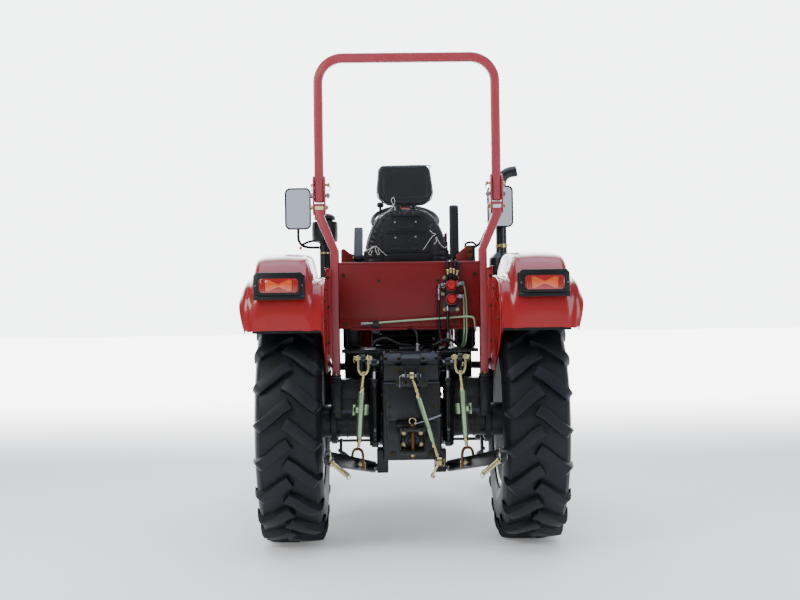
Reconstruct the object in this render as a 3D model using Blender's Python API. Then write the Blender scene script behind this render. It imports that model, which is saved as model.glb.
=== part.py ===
"""A four-wheel-drive farm tractor with a folding roll bar, as separate closed pieces.

Metres, +Z up, front towards +Y, ground at z = 0. Lengths along Y are written from the rear axle
and moved by SHIFT_Y when an object is made, so that the whole is centred on the origin.
"""
import math

import bmesh
import bpy
from mathutils import Matrix, Vector

for stale in list(bpy.data.objects):
    bpy.data.objects.remove(stale, do_unlink=True)

# ---- driving dimensions ------------------------------------------------------------------
WHEELBASE = 2.05
REAR_R = 0.65            # rear tyre radius, so also the rear axle height
REAR_W = 0.345           # rear tyre section width
REAR_HALF = 0.633        # half the rear track
REAR_RIM = 0.350         # bead seat radius
FRONT_SHARE = 0.46 / 0.65  # front tyre radius over the rear one
FRONT_R = REAR_R * FRONT_SHARE
FRONT_W = 0.22
FRONT_HALF = 0.735
FRONT_RIM = 0.248
KING_X = 0.55            # king pin to the centre line
ARM_LEN = 0.17           # steering arm, king pin to tie rod
CASE_HALF = 0.155        # rear case half width
MID_HALF = 0.13
ENGINE_LEN = 0.74
HOOD_HALF = 0.30
HOOD_WALL = 0.008
ROPS_HALF = 0.506        # outer half width of the hoop
ROPS_TUBE = 0.050
ROPS_TOP = 2.648
ROPS_Y = -0.075
PIVOT_Z = 1.877
CORNER_R = 0.16
FENDER_OUT = 0.874
FENDER_T = 0.012
PANEL_TOP = 1.507
WHEEL_R = 0.21           # steering wheel
LINK_T = 0.018
GAP = 0.0003             # between pieces that touch
RUN = 0.0005             # face clearance of a turning piece
PIN_FIT = 0.0008         # radial clearance of a hinge pin
EYE_FIT = 0.0045         # radial clearance of a lift rod's opened foot
HEAD_FIT = 0.0070        # the same for an assist cylinder's head

# ---- derived positions -------------------------------------------------------------------
ZA = REAR_R
ZF = FRONT_R
YF = WHEELBASE
DZ = ZA - 0.65
TYRE_IN = REAR_HALF - REAR_W / 2
FLANK = TYRE_IN - 0.0205         # inner face of the fender wall
POST_OUT = FLANK - 0.016
POST_IN = POST_OUT - 0.046
CASE_BACK = -0.30
CASE_Z0 = ZA - 0.19
CASE_Z1 = ZA + 0.22
LIFT_Z1 = ZA + 0.37
MID_Y1 = 1.06
MID_Z0 = ZA - 0.12
MID_Z1 = ZA + 0.15
FLOOR_Z = MID_Z1 + GAP
DECK_Z = LIFT_Z1 + GAP
PAD_Z = ZA + 0.235
ENGINE_Y0 = MID_Y1 + GAP
ENGINE_Y1 = ENGINE_Y0 + ENGINE_LEN
ENGINE_Z0 = max(MID_Z0 - 0.02, ZF + 0.05)  # clear of the front axle's shaft
NOSE_Y = YF + 0.50
FRONT_Y = NOSE_Y + 0.05
AXLE_END = POST_OUT + 0.006
HINGE_Y = 1.010
HINGE_Z = 1.585 + DZ
SHAFT = (-0.120, ZA + 0.305)      # rockshaft, (y, z)
ARM_END = (-0.400, ZA + 0.350)
LINK_FRONT = (-0.050, ZA - 0.250)
LINK_REAR = (-0.850, ZA - 0.115)
LINK_X0 = CASE_HALF + 0.050
LINK_SPLAY = 0.265
EYE_R = 0.035
ROD_SHARE = 0.38
CYL_FOOT = (-0.200, ZA - 0.105)
CYL_HEAD = (-0.203, ZA + 0.3200)
CYL_X = CASE_HALF + 0.040
LIFT_X = CASE_HALF + 0.095
TOP_PIN = (-0.375, ZA + 0.255)
JAW_PIN_Y = -0.385
BACK_Y = LINK_REAR[0] - EYE_R
SHIFT_Y = -(FRONT_Y + BACK_Y) / 2
STEER_C = (0.0, 0.750, 1.800 + DZ)
STEER_TILT = math.radians(30)
SEAT_X = -0.010

ROD_FOOT = (
    LINK_FRONT[0] + ROD_SHARE * (LINK_REAR[0] - LINK_FRONT[0]),
    LINK_FRONT[1] + ROD_SHARE * (LINK_REAR[1] - LINK_FRONT[1]),
)
ROD_FOOT_X = LINK_X0 + LINK_SPLAY * (LINK_FRONT[0] - ROD_FOOT[0])

# ---- collections and materials -----------------------------------------------------------
PARTS = bpy.data.collections.new("farm_tractor")
TOOLS = bpy.data.collections.new("cutters")
bpy.context.scene.collection.children.link(PARTS)
bpy.context.scene.collection.children.link(TOOLS)


def material(name, colour, metallic=0.0, rough=0.5):
    made = bpy.data.materials.new(name)
    made.use_nodes = True
    node = made.node_tree.nodes["Principled BSDF"]
    node.inputs["Base Color"].default_value = (*colour, 1.0)
    node.inputs["Metallic"].default_value = metallic
    node.inputs["Roughness"].default_value = rough
    made.diffuse_color = (*colour, 1.0)
    return made


RED = material("red_paint", (0.50, 0.020, 0.018), 0.0, 0.30)
IRON = material("cast_iron_black", (0.030, 0.032, 0.036), 0.0, 0.50)
BLACK = material("black_steel", (0.012, 0.012, 0.014), 0.0, 0.45)
RUBBER = material("tyre_rubber", (0.010, 0.010, 0.011), 0.0, 0.70)
RIM = material("rim_paint", (0.62, 0.62, 0.60), 0.0, 0.40)
VINYL = material("seat_vinyl", (0.012, 0.012, 0.013), 0.0, 0.60)
ZINC = material("yellow_zinc", (0.55, 0.50, 0.28), 1.0, 0.35)
CHROME = material("chrome", (0.75, 0.75, 0.76), 1.0, 0.12)
LENS = material("red_lens", (0.45, 0.02, 0.01), 0.0, 0.15)


# ---- shapes ------------------------------------------------------------------------------
def box(x, y, z):
    """A block between the two ends given for each axis."""
    bm = bmesh.new()
    size = (x[1] - x[0], y[1] - y[0], z[1] - z[0])
    place = Matrix.Translation(((x[0] + x[1]) / 2, (y[0] + y[1]) / 2, (z[0] + z[1]) / 2))
    bmesh.ops.create_cube(bm, size=1.0, matrix=place @ Matrix.Diagonal((*size, 1.0)))
    return bm


def facing_out(bm):
    """Faces made to agree, and turned over if they enclose a negative volume."""
    bmesh.ops.recalc_face_normals(bm, faces=bm.faces)
    if bm.calc_volume(signed=True) < 0:
        bmesh.ops.reverse_faces(bm, faces=bm.faces)
    return bm


def prism(axis, points, low, high):
    """A polygon given in the plane square to the axis, pushed out along it.

    The polygon's two numbers are (y, z) for X, (x, z) for Y and (x, y) for Z.
    """
    bm = bmesh.new()
    order = {"X": lambda a, b, c: (c, a, b), "Y": lambda a, b, c: (a, c, b), "Z": lambda a, b, c: (a, b, c)}
    place = order[axis]
    rows = [[bm.verts.new(place(a, b, end)) for a, b in points] for end in (low, high)]
    count = len(points)
    bm.faces.new(rows[0])
    bm.faces.new(rows[1])
    for i in range(count):
        j = (i + 1) % count
        bm.faces.new((rows[0][i], rows[0][j], rows[1][j], rows[1][i]))
    return facing_out(bm)


def ring(centre, radius, count, start=0.0):
    """Points of a circle, for a prism."""
    return [
        (
            centre[0] + radius * math.cos(start + 2 * math.pi * i / count),
            centre[1] + radius * math.sin(start + 2 * math.pi * i / count),
        )
        for i in range(count)
    ]


def rod(axis, centre, radius, low, high, count=16):
    return prism(axis, ring(centre, radius, count), low, high)


def capsule(a, b, ra, rb, count=6):
    """The outline round two circles, for a link seen from the side."""
    turn = math.atan2(b[1] - a[1], b[0] - a[0])
    points = []
    for centre, radius, first in ((b, rb, turn - math.pi / 2), (a, ra, turn + math.pi / 2)):
        for i in range(count + 1):
            angle = first + math.pi * i / count
            points.append((centre[0] + radius * math.cos(angle), centre[1] + radius * math.sin(angle)))
    return points


def lathe(profile, count, origin, closed):
    """A profile of (x, radius) turned about an X axis through origin; closed joins its ends."""
    bm = bmesh.new()
    ox, oy, oz = origin
    rows = []
    for x, r in profile:
        if r < 1e-6:
            rows.append([bm.verts.new((ox + x, oy, oz))])
            continue
        rows.append(
            [
                bm.verts.new(
                    (
                        ox + x,
                        oy + r * math.cos(2 * math.pi * i / count),
                        oz + r * math.sin(2 * math.pi * i / count),
                    )
                )
                for i in range(count)
            ]
        )
    pairs = list(zip(rows, rows[1:] + rows[:1])) if closed else list(zip(rows, rows[1:]))
    for a, b in pairs:
        for i in range(count):
            j = (i + 1) % count
            if len(a) == 1:
                bm.faces.new((a[0], b[i], b[j]))
            elif len(b) == 1:
                bm.faces.new((a[i], a[j], b[0]))
            else:
                bm.faces.new((a[i], a[j], b[j], b[i]))
    return facing_out(bm)


def tube(path, radius, count=10):
    """A round bar along a bent path, mitred at each bend; radius is one number or one for each point."""
    bm = bmesh.new()
    points = [Vector(p) for p in path]
    radii = radius if isinstance(radius, (list, tuple)) else [radius] * len(points)
    steps = [(b - a).normalized() for a, b in zip(points, points[1:])]
    side = steps[0].orthogonal().normalized()
    rows = []
    for i, point in enumerate(points):
        before = steps[max(i - 1, 0)]
        after = steps[min(i, len(steps) - 1)]
        if i:
            side = before.rotation_difference(after) @ side if i < len(steps) else side
        along = after
        mitre = (before + after).normalized()
        up = along.cross(side).normalized()
        row = []
        for k in range(count):
            angle = 2 * math.pi * k / count
            offset = radii[i] * (math.cos(angle) * side + math.sin(angle) * up)
            slide = offset.dot(mitre) / along.dot(mitre)
            row.append(bm.verts.new(point + offset - along * slide))
        rows.append(row)
    bm.faces.new(rows[0])
    bm.faces.new(rows[-1])
    for a, b in zip(rows, rows[1:]):
        for i in range(count):
            j = (i + 1) % count
            bm.faces.new((a[i], a[j], b[j], b[i]))
    return facing_out(bm)


def turned(bm, matrix):
    bmesh.ops.transform(bm, matrix=matrix, verts=bm.verts)
    return bm


def sheared(bm, target, source, slope, zero):
    """Moves coordinate target by slope times the distance of coordinate source from zero."""
    for vert in bm.verts:
        vert.co[target] += slope * (vert.co[source] - zero)
    return bm


def mirrored(bm):
    """The same shape on the other side of the centre plane."""
    for vert in bm.verts:
        vert.co.x = -vert.co.x
    bmesh.ops.reverse_faces(bm, faces=bm.faces)
    return bm


def mesh_object(name, bm, origin=(0.0, 0.0, 0.0)):
    mesh = bpy.data.meshes.new(name)
    bmesh.ops.translate(bm, verts=bm.verts, vec=(-origin[0], -origin[1], -origin[2]))
    bm.to_mesh(mesh)
    bm.free()
    made = bpy.data.objects.new(name, mesh)
    made.location = (origin[0], origin[1] + SHIFT_Y, origin[2])
    return made


def tool(name, bm):
    made = mesh_object(name, bm)
    made.hide_render = True
    made.display_type = "WIRE"
    TOOLS.objects.link(made)
    return made


def part(name, bm, paint, add=(), cut=(), meet=(), origin=(0.0, 0.0, 0.0)):
    """One node: the base shape, kept inside meet, joined with add, then cut by cut."""
    made = mesh_object(name, bm, origin)
    made.data.materials.append(paint)
    PARTS.objects.link(made)
    for kind, shapes in (("INTERSECT", meet), ("UNION", add), ("DIFFERENCE", cut)):
        for number, shape in enumerate(shapes):
            label = f"{kind.lower()}_{number}"
            other = shape if isinstance(shape, bpy.types.Object) else tool(f"{name}_{label}", shape)
            step = made.modifiers.new(label, "BOOLEAN")
            step.operation = kind
            step.solver = "EXACT"
            step.object = other
    return made


def pair(name, build):
    """A left and a right piece; build(side) makes it, with side -1 on the left."""
    for letter, side in (("L", -1), ("R", 1)):
        build(f"{name}_{letter}", side)


def sided(bm, side):
    return mirrored(bm) if side < 0 else bm


# ---- rear case, with its trumpets, lift housing and link pins ----------------------------
def build_case():
    case = box((-CASE_HALF, CASE_HALF), (CASE_BACK, 0.42), (CASE_Z0, CASE_Z1))
    add = [
        box((-MID_HALF, MID_HALF), (0.40, MID_Y1), (MID_Z0, MID_Z1)),
        prism(
            "X",
            [
                (-0.26, CASE_Z1 - 0.01), (-0.26, LIFT_Z1 - 0.03), (-0.23, LIFT_Z1),
                (0.16, LIFT_Z1), (0.18, LIFT_Z1 - 0.02), (0.18, CASE_Z1 - 0.01),
            ],
            -CASE_HALF + 0.004, CASE_HALF - 0.004,
        ),
        lathe(
            [
                (-AXLE_END, 0), (-AXLE_END, 0.125), (-AXLE_END + 0.028, 0.125), (-AXLE_END + 0.03, 0.088),
                (-CASE_HALF - 0.05, 0.095), (-CASE_HALF + 0.01, 0.14),
                (CASE_HALF - 0.01, 0.14), (CASE_HALF + 0.05, 0.095),
                (AXLE_END - 0.03, 0.088), (AXLE_END - 0.028, 0.125), (AXLE_END, 0.125), (AXLE_END, 0),
            ],
            24, (0, 0, ZA), False,
        ),
        box((-0.085, 0.085), (CASE_BACK - 0.03, CASE_BACK + 0.06), (ZA + 0.195, ZA + 0.305)),
        box((-0.036, -0.026), (TOP_PIN[0] - 0.024, CASE_BACK - 0.02), (TOP_PIN[1] - 0.024, TOP_PIN[1] + 0.024)),
        box((0.026, 0.036), (TOP_PIN[0] - 0.024, CASE_BACK - 0.02), (TOP_PIN[1] - 0.024, TOP_PIN[1] + 0.024)),
        rod("X", TOP_PIN, 0.010, -0.042, 0.042, 12),
        rod("X", LINK_FRONT, 0.014, -LINK_X0 - 0.020, LINK_X0 + 0.020, 16),
        rod("X", CYL_FOOT, 0.012, -CYL_X - 0.024, CYL_X + 0.024, 16),
    ]
    hanger = [
        (0.060, CASE_Z0 + 0.040), (-0.120, CASE_Z0 + 0.040), (-0.100, CASE_Z0 - 0.040),
        (-0.080, LINK_FRONT[1] - 0.030), (-0.020, LINK_FRONT[1] - 0.030), (0.030, CASE_Z0 - 0.020),
    ]
    for side in (-1, 1):
        pad = box((POST_IN - 0.004, AXLE_END - 0.001), (ROPS_Y - 0.045, ROPS_Y + 0.10), (ZA + 0.02, PAD_Z))
        add.append(sided(pad, side))
        add.append(sided(prism("X", hanger, CASE_HALF - 0.030, LINK_X0 - 0.018), side))
    bore = rod("X", SHAFT, 0.025 + PIN_FIT, -CASE_HALF - 0.05, CASE_HALF + 0.05, 24)
    part("transmission_case", case, IRON, add=add, cut=[bore])


build_case()

# ---- engine, front support, radiator, front axle -----------------------------------------
part(
    "engine_block",
    box((-0.17, 0.17), (ENGINE_Y0, ENGINE_Y1), (ENGINE_Z0, ZA + 0.60)),
    IRON,
)
part(
    "front_support",
    box((-0.13, 0.13), (ENGINE_Y1 + GAP, NOSE_Y - 0.04), (ZA - 0.03, ZA + 0.13)),
    BLACK,
    add=[
        box((-0.075, 0.075), (YF - 0.09, YF + 0.09), (ZF + 0.095 + GAP, ZA)),
        box((-0.20, 0.20), (NOSE_Y - 0.05, FRONT_Y), (ZA - 0.05, ZA + 0.17)),
    ],
)
RAD_Y = ENGINE_Y1 + 0.16
part(
    "radiator",
    box((-0.23, 0.23), (RAD_Y, RAD_Y + 0.09), (ZA + 0.13 + GAP, ZA + 0.76)),
    BLACK,
)
part(
    "front_axle",
    prism(
        "Y",
        [
            (-0.12, ZF - 0.10), (0.12, ZF - 0.10), (0.15, ZF), (0.11, ZF + 0.095),
            (-0.11, ZF + 0.095), (-0.15, ZF),
        ],
        YF - 0.11, YF + 0.09,
    ),
    IRON,
    add=[
        rod("X", (YF, ZF), 0.050, -KING_X, KING_X, 16),
        rod("Z", (-KING_X, YF), 0.053, ZF - 0.085, ZF + 0.085, 16),
        rod("Z", (KING_X, YF), 0.053, ZF - 0.085, ZF + 0.085, 16),
        rod("Y", (0.0, ZF), 0.040, YF - 0.19, YF - 0.10, 14),
    ],
)
part(
    "drive_shaft",
    tube([(0, 0.42 + GAP, ZA - 0.155), (0, 0.46, ZA - 0.155), (0, YF - 0.23, ZF), (0, YF - 0.19 - GAP, ZF)], 0.024, 12),
    BLACK,
)


def build_knuckle(name, side):
    cap = 0.085 + RUN
    king = (side * KING_X, YF, ZF)
    low = prism(
        "Z",
        [
            (KING_X + 0.09, YF - 0.05), (KING_X + 0.09, YF + 0.05), (KING_X + 0.045, YF + 0.06),
            (KING_X + 0.024, YF + ARM_LEN + 0.020), (KING_X - 0.024, YF + ARM_LEN + 0.020),
            (KING_X - 0.050, YF + 0.03), (KING_X - 0.050, YF - 0.03), (KING_X - 0.02, YF - 0.05),
        ],
        ZF - cap - 0.026, ZF - cap,
    )
    high = prism(
        "Z",
        [
            (KING_X + 0.09, YF - 0.05), (KING_X + 0.09, YF + 0.05), (KING_X - 0.02, YF + 0.05),
            (KING_X - 0.050, YF + 0.02), (KING_X - 0.050, YF - 0.02), (KING_X - 0.02, YF - 0.05),
        ],
        ZF + cap, ZF + cap + 0.026,
    )
    web = box((KING_X + 0.062, KING_X + 0.088), (YF - 0.049, YF + 0.049), (ZF - cap - 0.02, ZF + cap + 0.02))
    hub = rod("X", (YF, ZF), 0.045, KING_X + 0.07, FRONT_HALF - 0.045, 16)
    ball = rod("Z", (KING_X, YF + ARM_LEN), 0.008, ZF - cap - 0.052, ZF - cap - 0.01, 12)
    part(name, sided(low, side), IRON, add=[sided(s, side) for s in (high, web, hub, ball)], origin=king)


pair("knuckle", build_knuckle)
TIE_Z = ZF - 0.085 - RUN - 0.026 - 0.0155
eyes = [rod("Z", (s * KING_X, YF + ARM_LEN), 0.019, TIE_Z - 0.0125, TIE_Z + 0.0125, 16) for s in (-1, 1)]
holes = [rod("Z", (s * KING_X, YF + ARM_LEN), 0.008 + PIN_FIT, TIE_Z - 0.05, TIE_Z + 0.05, 12) for s in (-1, 1)]
part(
    "tie_rod",
    rod("X", (YF + ARM_LEN, TIE_Z), 0.011, -KING_X + 0.012, KING_X - 0.012, 10),
    BLACK, add=eyes, cut=holes, origin=(-KING_X, YF + ARM_LEN, TIE_Z),
)


# ---- wheels ------------------------------------------------------------------------------
def rim_profile(inner, seat, half, lip, hub, dish, cap):
    """Outboard is +x; inner is the hub face on the axle, dish the wheel disc's place."""
    return [
        (inner, 0), (inner, hub), (dish - 0.010, hub), (dish - 0.010, seat - 0.012),
        (-half - 0.012, seat - 0.012), (-half - 0.012, seat + lip), (-half, seat + lip), (-half, seat),
        (half, seat), (half, seat + lip), (half + 0.012, seat + lip), (half + 0.012, seat - 0.012),
        (dish, seat - 0.012), (dish, hub + 0.03), (cap, hub - 0.005), (cap, 0),
    ]


def tyre_profile(seat, half, width, radius, lip):
    w = width / 2
    h = radius - seat
    side = [
        (half - GAP, seat + GAP), (half - GAP, seat + lip + 0.006), (w, seat + 0.38 * h),
        (w - 0.006, seat + 0.68 * h), (w - 0.028, seat + 0.90 * h), (w - 0.070 * h / 0.3, radius),
    ]
    inside = [(half - 0.034, seat + GAP), (w - 0.028, seat + 0.45 * h), (w - 0.062, seat + 0.80 * h)]
    outer = side + [(-x, r) for x, r in reversed(side)]
    inner = [(-x, r) for x, r in inside] + list(reversed(inside))
    return outer + inner


def build_wheel(kind, side, centre, seat, half, width, radius, lip, hub, inner, dish, cap, steps):
    letter = "L" if side < 0 else "R"
    place = (abs(centre[0]), centre[1], centre[2])
    rim = lathe(rim_profile(inner, seat, half, lip, hub, dish, cap), steps, place, False)
    part(f"{kind}_rim_{letter}", sided(rim, side), RIM, origin=centre)
    tyre = lathe(tyre_profile(seat, half, width, radius, lip), steps, place, True)
    part(f"{kind}_tyre_{letter}", sided(tyre, side), RUBBER, origin=centre)


for side in (-1, 1):
    build_wheel(
        "rear", side, (side * REAR_HALF, 0, ZA), REAR_RIM, 0.135, REAR_W, REAR_R, 0.026,
        0.085, AXLE_END + RUN - REAR_HALF, -0.045, 0.02, 28,
    )
    build_wheel(
        "front", side, (side * FRONT_HALF, YF, ZF), FRONT_RIM, 0.080, FRONT_W, FRONT_R, 0.020,
        0.070, -0.045 + RUN, 0.035, 0.075, 24,
    )

# ---- floor, steps, tank ------------------------------------------------------------------
FLOOR_Y1 = 1.00
deck = prism(
    "X",
    [
        (FLOOR_Y1, FLOOR_Z), (FLOOR_Y1, FLOOR_Z + 0.02), (0.46, FLOOR_Z + 0.02), (0.46, DECK_Z + 0.02),
        (-0.09, DECK_Z + 0.02), (-0.09, DECK_Z), (0.44, DECK_Z), (0.44, FLOOR_Z),
    ],
    -POST_IN + 0.008, POST_IN - 0.008,
)
WING_X = REAR_HALF + 0.067
steps = []
for side in (-1, 1):
    steps.append(sided(box((POST_IN - 0.02, WING_X), (REAR_R + 0.05, FLOOR_Y1 - 0.002), (FLOOR_Z + 0.001, FLOOR_Z + 0.019)), side))
    hanger = prism(
        "Y",
        [
            (WING_X - 0.06, FLOOR_Z + 0.01), (WING_X - 0.06, ZA - 0.20), (WING_X + 0.12, ZA - 0.20),
            (WING_X + 0.12, ZA - 0.18), (WING_X - 0.04, ZA - 0.18), (WING_X - 0.04, FLOOR_Z + 0.01),
        ],
        REAR_R + 0.11, FLOOR_Y1 - 0.04,
    )
    steps.append(sided(hanger, side))
part("platform", deck, BLACK, add=steps)
part(
    "fuel_tank",
    box((-TYRE_IN - 0.03, -MID_HALF - GAP), (REAR_R + 0.09, MID_Y1 - 0.01), (MID_Z0 - 0.03, MID_Z1 - GAP)),
    BLACK,
)

# ---- fenders and tail lamps --------------------------------------------------------------
ARCH = [
    (-0.617, ZA + 0.509), (-0.612, ZA + 0.650), (-0.572, ZA + 0.790), (-0.450, ZA + 0.865),
    (-0.200, ZA + 0.896), (0.120, ZA + 0.896), (0.380, ZA + 0.820), (0.560, ZA + 0.650),
    (0.675, ZA + 0.430), (REAR_R + 0.075, FLOOR_Z + 0.080), (REAR_R + 0.075, FLOOR_Z + 0.019 + GAP),
]
SHOULDER = [
    (-0.611, ZA + 0.509), (-0.600, ZA + 0.635), (-0.545, ZA + 0.725), (-0.420, ZA + 0.762),
    (-0.190, ZA + 0.778), (0.105, ZA + 0.775), (0.330, ZA + 0.705), (0.500, ZA + 0.560),
    (0.615, ZA + 0.380), (REAR_R + 0.040, FLOOR_Z + 0.080), (REAR_R + 0.040, FLOOR_Z + 0.019 + GAP),
]
LIP = [
    (-0.600, ZA + 0.509), (-0.585, ZA + 0.600), (-0.520, ZA + 0.650), (-0.400, ZA + 0.672),
    (-0.180, ZA + 0.680), (0.095, ZA + 0.675), (0.300, ZA + 0.615), (0.460, ZA + 0.490),
    (0.570, ZA + 0.340), (REAR_R - 0.005, FLOOR_Z + 0.070), (REAR_R + 0.010, FLOOR_Z + 0.019 + GAP),
]
CROWN = (0.522, 0.787)   # inner and outer x of the raised middle band


def offset_path(points, distance):
    """The same path moved to its right by distance; end points move squarely."""
    moved = []
    for i, point in enumerate(points):
        before = points[max(i - 1, 0)]
        after = points[min(i + 1, len(points) - 1)]
        here = Vector(point)
        a = (here - Vector(before)).normalized() if i else (Vector(after) - here).normalized()
        b = (Vector(after) - here).normalized() if i < len(points) - 1 else a
        na = Vector((a.y, -a.x))
        nb = Vector((b.y, -b.x))
        n = (na + nb).normalized()
        here = here + n * (distance / max(n.dot(na), 0.3))
        moved.append((here.x, here.y))
    return moved


def shell(rows, thickness, centre):
    """A sheet through rows of points, thickened towards a (y, z) centre."""
    bm = bmesh.new()
    inside = []
    for i, row in enumerate(rows):
        line = []
        for j, point in enumerate(row):
            along = rows[min(i + 1, len(rows) - 1)][j] - rows[max(i - 1, 0)][j]
            across = row[min(j + 1, len(row) - 1)] - row[max(j - 1, 0)]
            n = along.cross(across).normalized()
            if n.dot(Vector((0, centre[0] - point.y, centre[1] - point.z))) < 0:
                n = -n
            line.append(point + n * thickness)
        inside.append(line)
    outer = [[bm.verts.new(p) for p in row] for row in rows]
    inner = [[bm.verts.new(p) for p in row] for row in inside]
    last = len(rows) - 1
    end = len(rows[0]) - 1
    for i in range(last):
        for j in range(end):
            for g in (outer, inner):
                bm.faces.new((g[i][j], g[i][j + 1], g[i + 1][j + 1]))
                bm.faces.new((g[i][j], g[i + 1][j + 1], g[i + 1][j]))
        for j in (0, end):
            bm.faces.new((outer[i][j], outer[i + 1][j], inner[i + 1][j], inner[i][j]))
    for j in range(end):
        for i in (0, last):
            bm.faces.new((outer[i][j], outer[i][j + 1], inner[i][j + 1], inner[i][j]))
    return facing_out(bm)


def build_fender(name, side):
    """A crowned band over the tyre's width, with a lower shoulder on each side and an outer lip."""
    rows = []
    for (by, bz), (sy, sz), (ly, lz) in zip(ARCH, SHOULDER, LIP):
        rows.append([
            Vector((FLANK + 0.006, sy, sz)), Vector((CROWN[0] - 0.027, sy, sz)),
            Vector((CROWN[0], by, bz)), Vector((CROWN[1], by, bz)),
            Vector((CROWN[1] + 0.025, sy, sz)), Vector((FENDER_OUT - 0.036, sy, sz - 0.008)),
            Vector((FENDER_OUT, ly, lz)),
        ])
    band = shell(rows, FENDER_T, (0.0, ZA))
    middle = offset_path(SHOULDER, FENDER_T / 2)
    foot = middle[-1]
    wall = [(middle[0][0], middle[0][1] + 0.004)] + middle[1:-1] + [
        (foot[0], foot[1] + 0.004), (0.42, ZA + 0.175), (0.20, ZA + 0.27), (-0.22, ZA + 0.27), (-0.48, ZA + 0.40),
    ]
    flank = prism("X", wall, FLANK, FLANK + FENDER_T)
    part(name, sided(band, side), RED, add=[sided(flank, side)])


pair("fender", build_fender)


def build_lamp(name, side):
    low = Vector(ARCH[1])
    high = Vector(ARCH[2])
    along = (high - low).normalized()
    back = Vector((-along.y, along.x))
    a = low + along * 0.006 + back * GAP
    b = high - along * 0.006 + back * GAP
    outline = [(a.x, a.y), (b.x, b.y), (b.x - 0.060, b.y), (a.x - 0.055, a.y + 0.02), (a.x - 0.055, a.y)]
    part(name, sided(prism("X", outline, 0.533, 0.787), side), LENS)


pair("tail_lamp", build_lamp)

# ---- rear panel, roll bar ----------------------------------------------------------------
PANEL_Z0 = PANEL_TOP - 0.356
panel_line = [
    (-0.112, PANEL_Z0), (-0.112, PANEL_TOP), (-0.030, PANEL_TOP), (-0.030, PANEL_TOP - 0.030),
    (-0.036, PANEL_TOP - 0.030), (-0.036, PANEL_TOP - 0.008), (-0.104, PANEL_TOP - 0.008),
    (-0.104, PANEL_Z0 + 0.008), (-0.070, PANEL_Z0 + 0.008), (-0.070, PANEL_Z0),
]
part("rear_panel", prism("X", panel_line, -POST_IN + RUN, POST_IN - RUN), RED)

HOOP_IN = ROPS_HALF - ROPS_TUBE
POST_TOP = PIVOT_Z - 0.047
POST_Y = (ROPS_Y - 0.030, ROPS_Y + 0.030)


def build_post(name, side):
    outline = [
        (POST_IN, PAD_Z + 0.012), (POST_OUT, PAD_Z + 0.012), (POST_OUT, 1.574), (ROPS_HALF + 0.002, 1.763),
        (ROPS_HALF + 0.002, POST_TOP), (HOOP_IN - 0.002, POST_TOP), (HOOP_IN - 0.002, 1.763), (POST_IN, 1.574),
    ]
    foot = box((POST_IN - 0.002, AXLE_END - 0.002), (ROPS_Y - 0.044, ROPS_Y + 0.095), (PAD_Z + GAP, PAD_Z + 0.016))
    plates = [
        prism("X", capsule((ROPS_Y, PIVOT_Z - 0.070), (ROPS_Y, PIVOT_Z + 0.070), 0.036, 0.036, 4), *ends)
        for ends in ((ROPS_HALF + RUN, ROPS_HALF + 0.010), (HOOP_IN - 0.010, HOOP_IN - RUN))
    ]
    hole = rod("X", (ROPS_Y, PIVOT_Z), 0.008 + PIN_FIT, HOOP_IN - 0.05, ROPS_HALF + 0.05, 12)
    part(
        name, sided(prism("Y", outline, *POST_Y), side), RED,
        add=[sided(s, side) for s in [foot] + plates], cut=[sided(hole, side)],
    )


pair("rops_post", build_post)


def hoop_line(half, top, radius):
    points = [(-half, PIVOT_Z - 0.026)]
    for centre, first in ((-half + radius, 180), (half - radius, 90)):
        for i in range(6):
            angle = math.radians(first - 18 * i)
            points.append((centre + radius * math.cos(angle), top - radius + radius * math.sin(angle)))
    return points + [(half, PIVOT_Z - 0.026)]


hoop = prism(
    "Y",
    hoop_line(ROPS_HALF, ROPS_TOP, CORNER_R)
    + list(reversed(hoop_line(HOOP_IN, ROPS_TOP - ROPS_TUBE, CORNER_R - ROPS_TUBE))),
    ROPS_Y - 0.025, ROPS_Y + 0.025,
)
part(
    "rops_hoop", hoop, RED,
    add=[sided(rod("X", (ROPS_Y, PIVOT_Z), 0.008, HOOP_IN - 0.018, ROPS_HALF + 0.018, 12), s) for s in (-1, 1)],
    origin=(0, ROPS_Y, PIVOT_Z),
)

# ---- seat --------------------------------------------------------------------------------
SEAT_Z = 1.30 + DZ
part(
    "seat_base",
    prism(
        "X",
        [
            (0.10, DECK_Z + 0.02 + GAP), (0.42, DECK_Z + 0.02 + GAP), (0.42, DECK_Z + 0.06), (0.38, SEAT_Z - 0.05),
            (0.44, SEAT_Z - 0.03), (0.44, SEAT_Z - GAP), (0.08, SEAT_Z - GAP), (0.08, SEAT_Z - 0.03),
            (0.14, SEAT_Z - 0.05), (0.10, DECK_Z + 0.06),
        ],
        SEAT_X - 0.17, SEAT_X + 0.17,
    ),
    BLACK,
)
BACK_LEAN = -0.12
part(
    "seat_cushion",
    prism(
        "X",
        [(0.125, SEAT_Z), (0.50, SEAT_Z), (0.545, SEAT_Z + 0.04), (0.53, SEAT_Z + 0.105), (0.42, SEAT_Z + 0.10), (0.125, SEAT_Z + 0.085)],
        SEAT_X - 0.235, SEAT_X + 0.235,
    ),
    VINYL,
)
BZ = SEAT_Z + 0.04
back_line = [
    (-0.215, BZ), (0.215, BZ), (0.232, BZ + 0.10), (0.232, BZ + 0.22), (0.190, BZ + 0.37), (0.125, BZ + 0.477),
    (0.045, BZ + 0.477), (0.045, BZ + 0.493), (0.135, BZ + 0.493), (0.160, BZ + 0.53), (0.160, BZ + 0.675),
    (0.130, BZ + 0.710), (-0.130, BZ + 0.710), (-0.160, BZ + 0.675), (-0.160, BZ + 0.53), (-0.135, BZ + 0.493),
    (-0.045, BZ + 0.493), (-0.045, BZ + 0.477), (-0.125, BZ + 0.477), (-0.190, BZ + 0.37), (-0.232, BZ + 0.22),
    (-0.232, BZ + 0.10),
]
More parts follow.
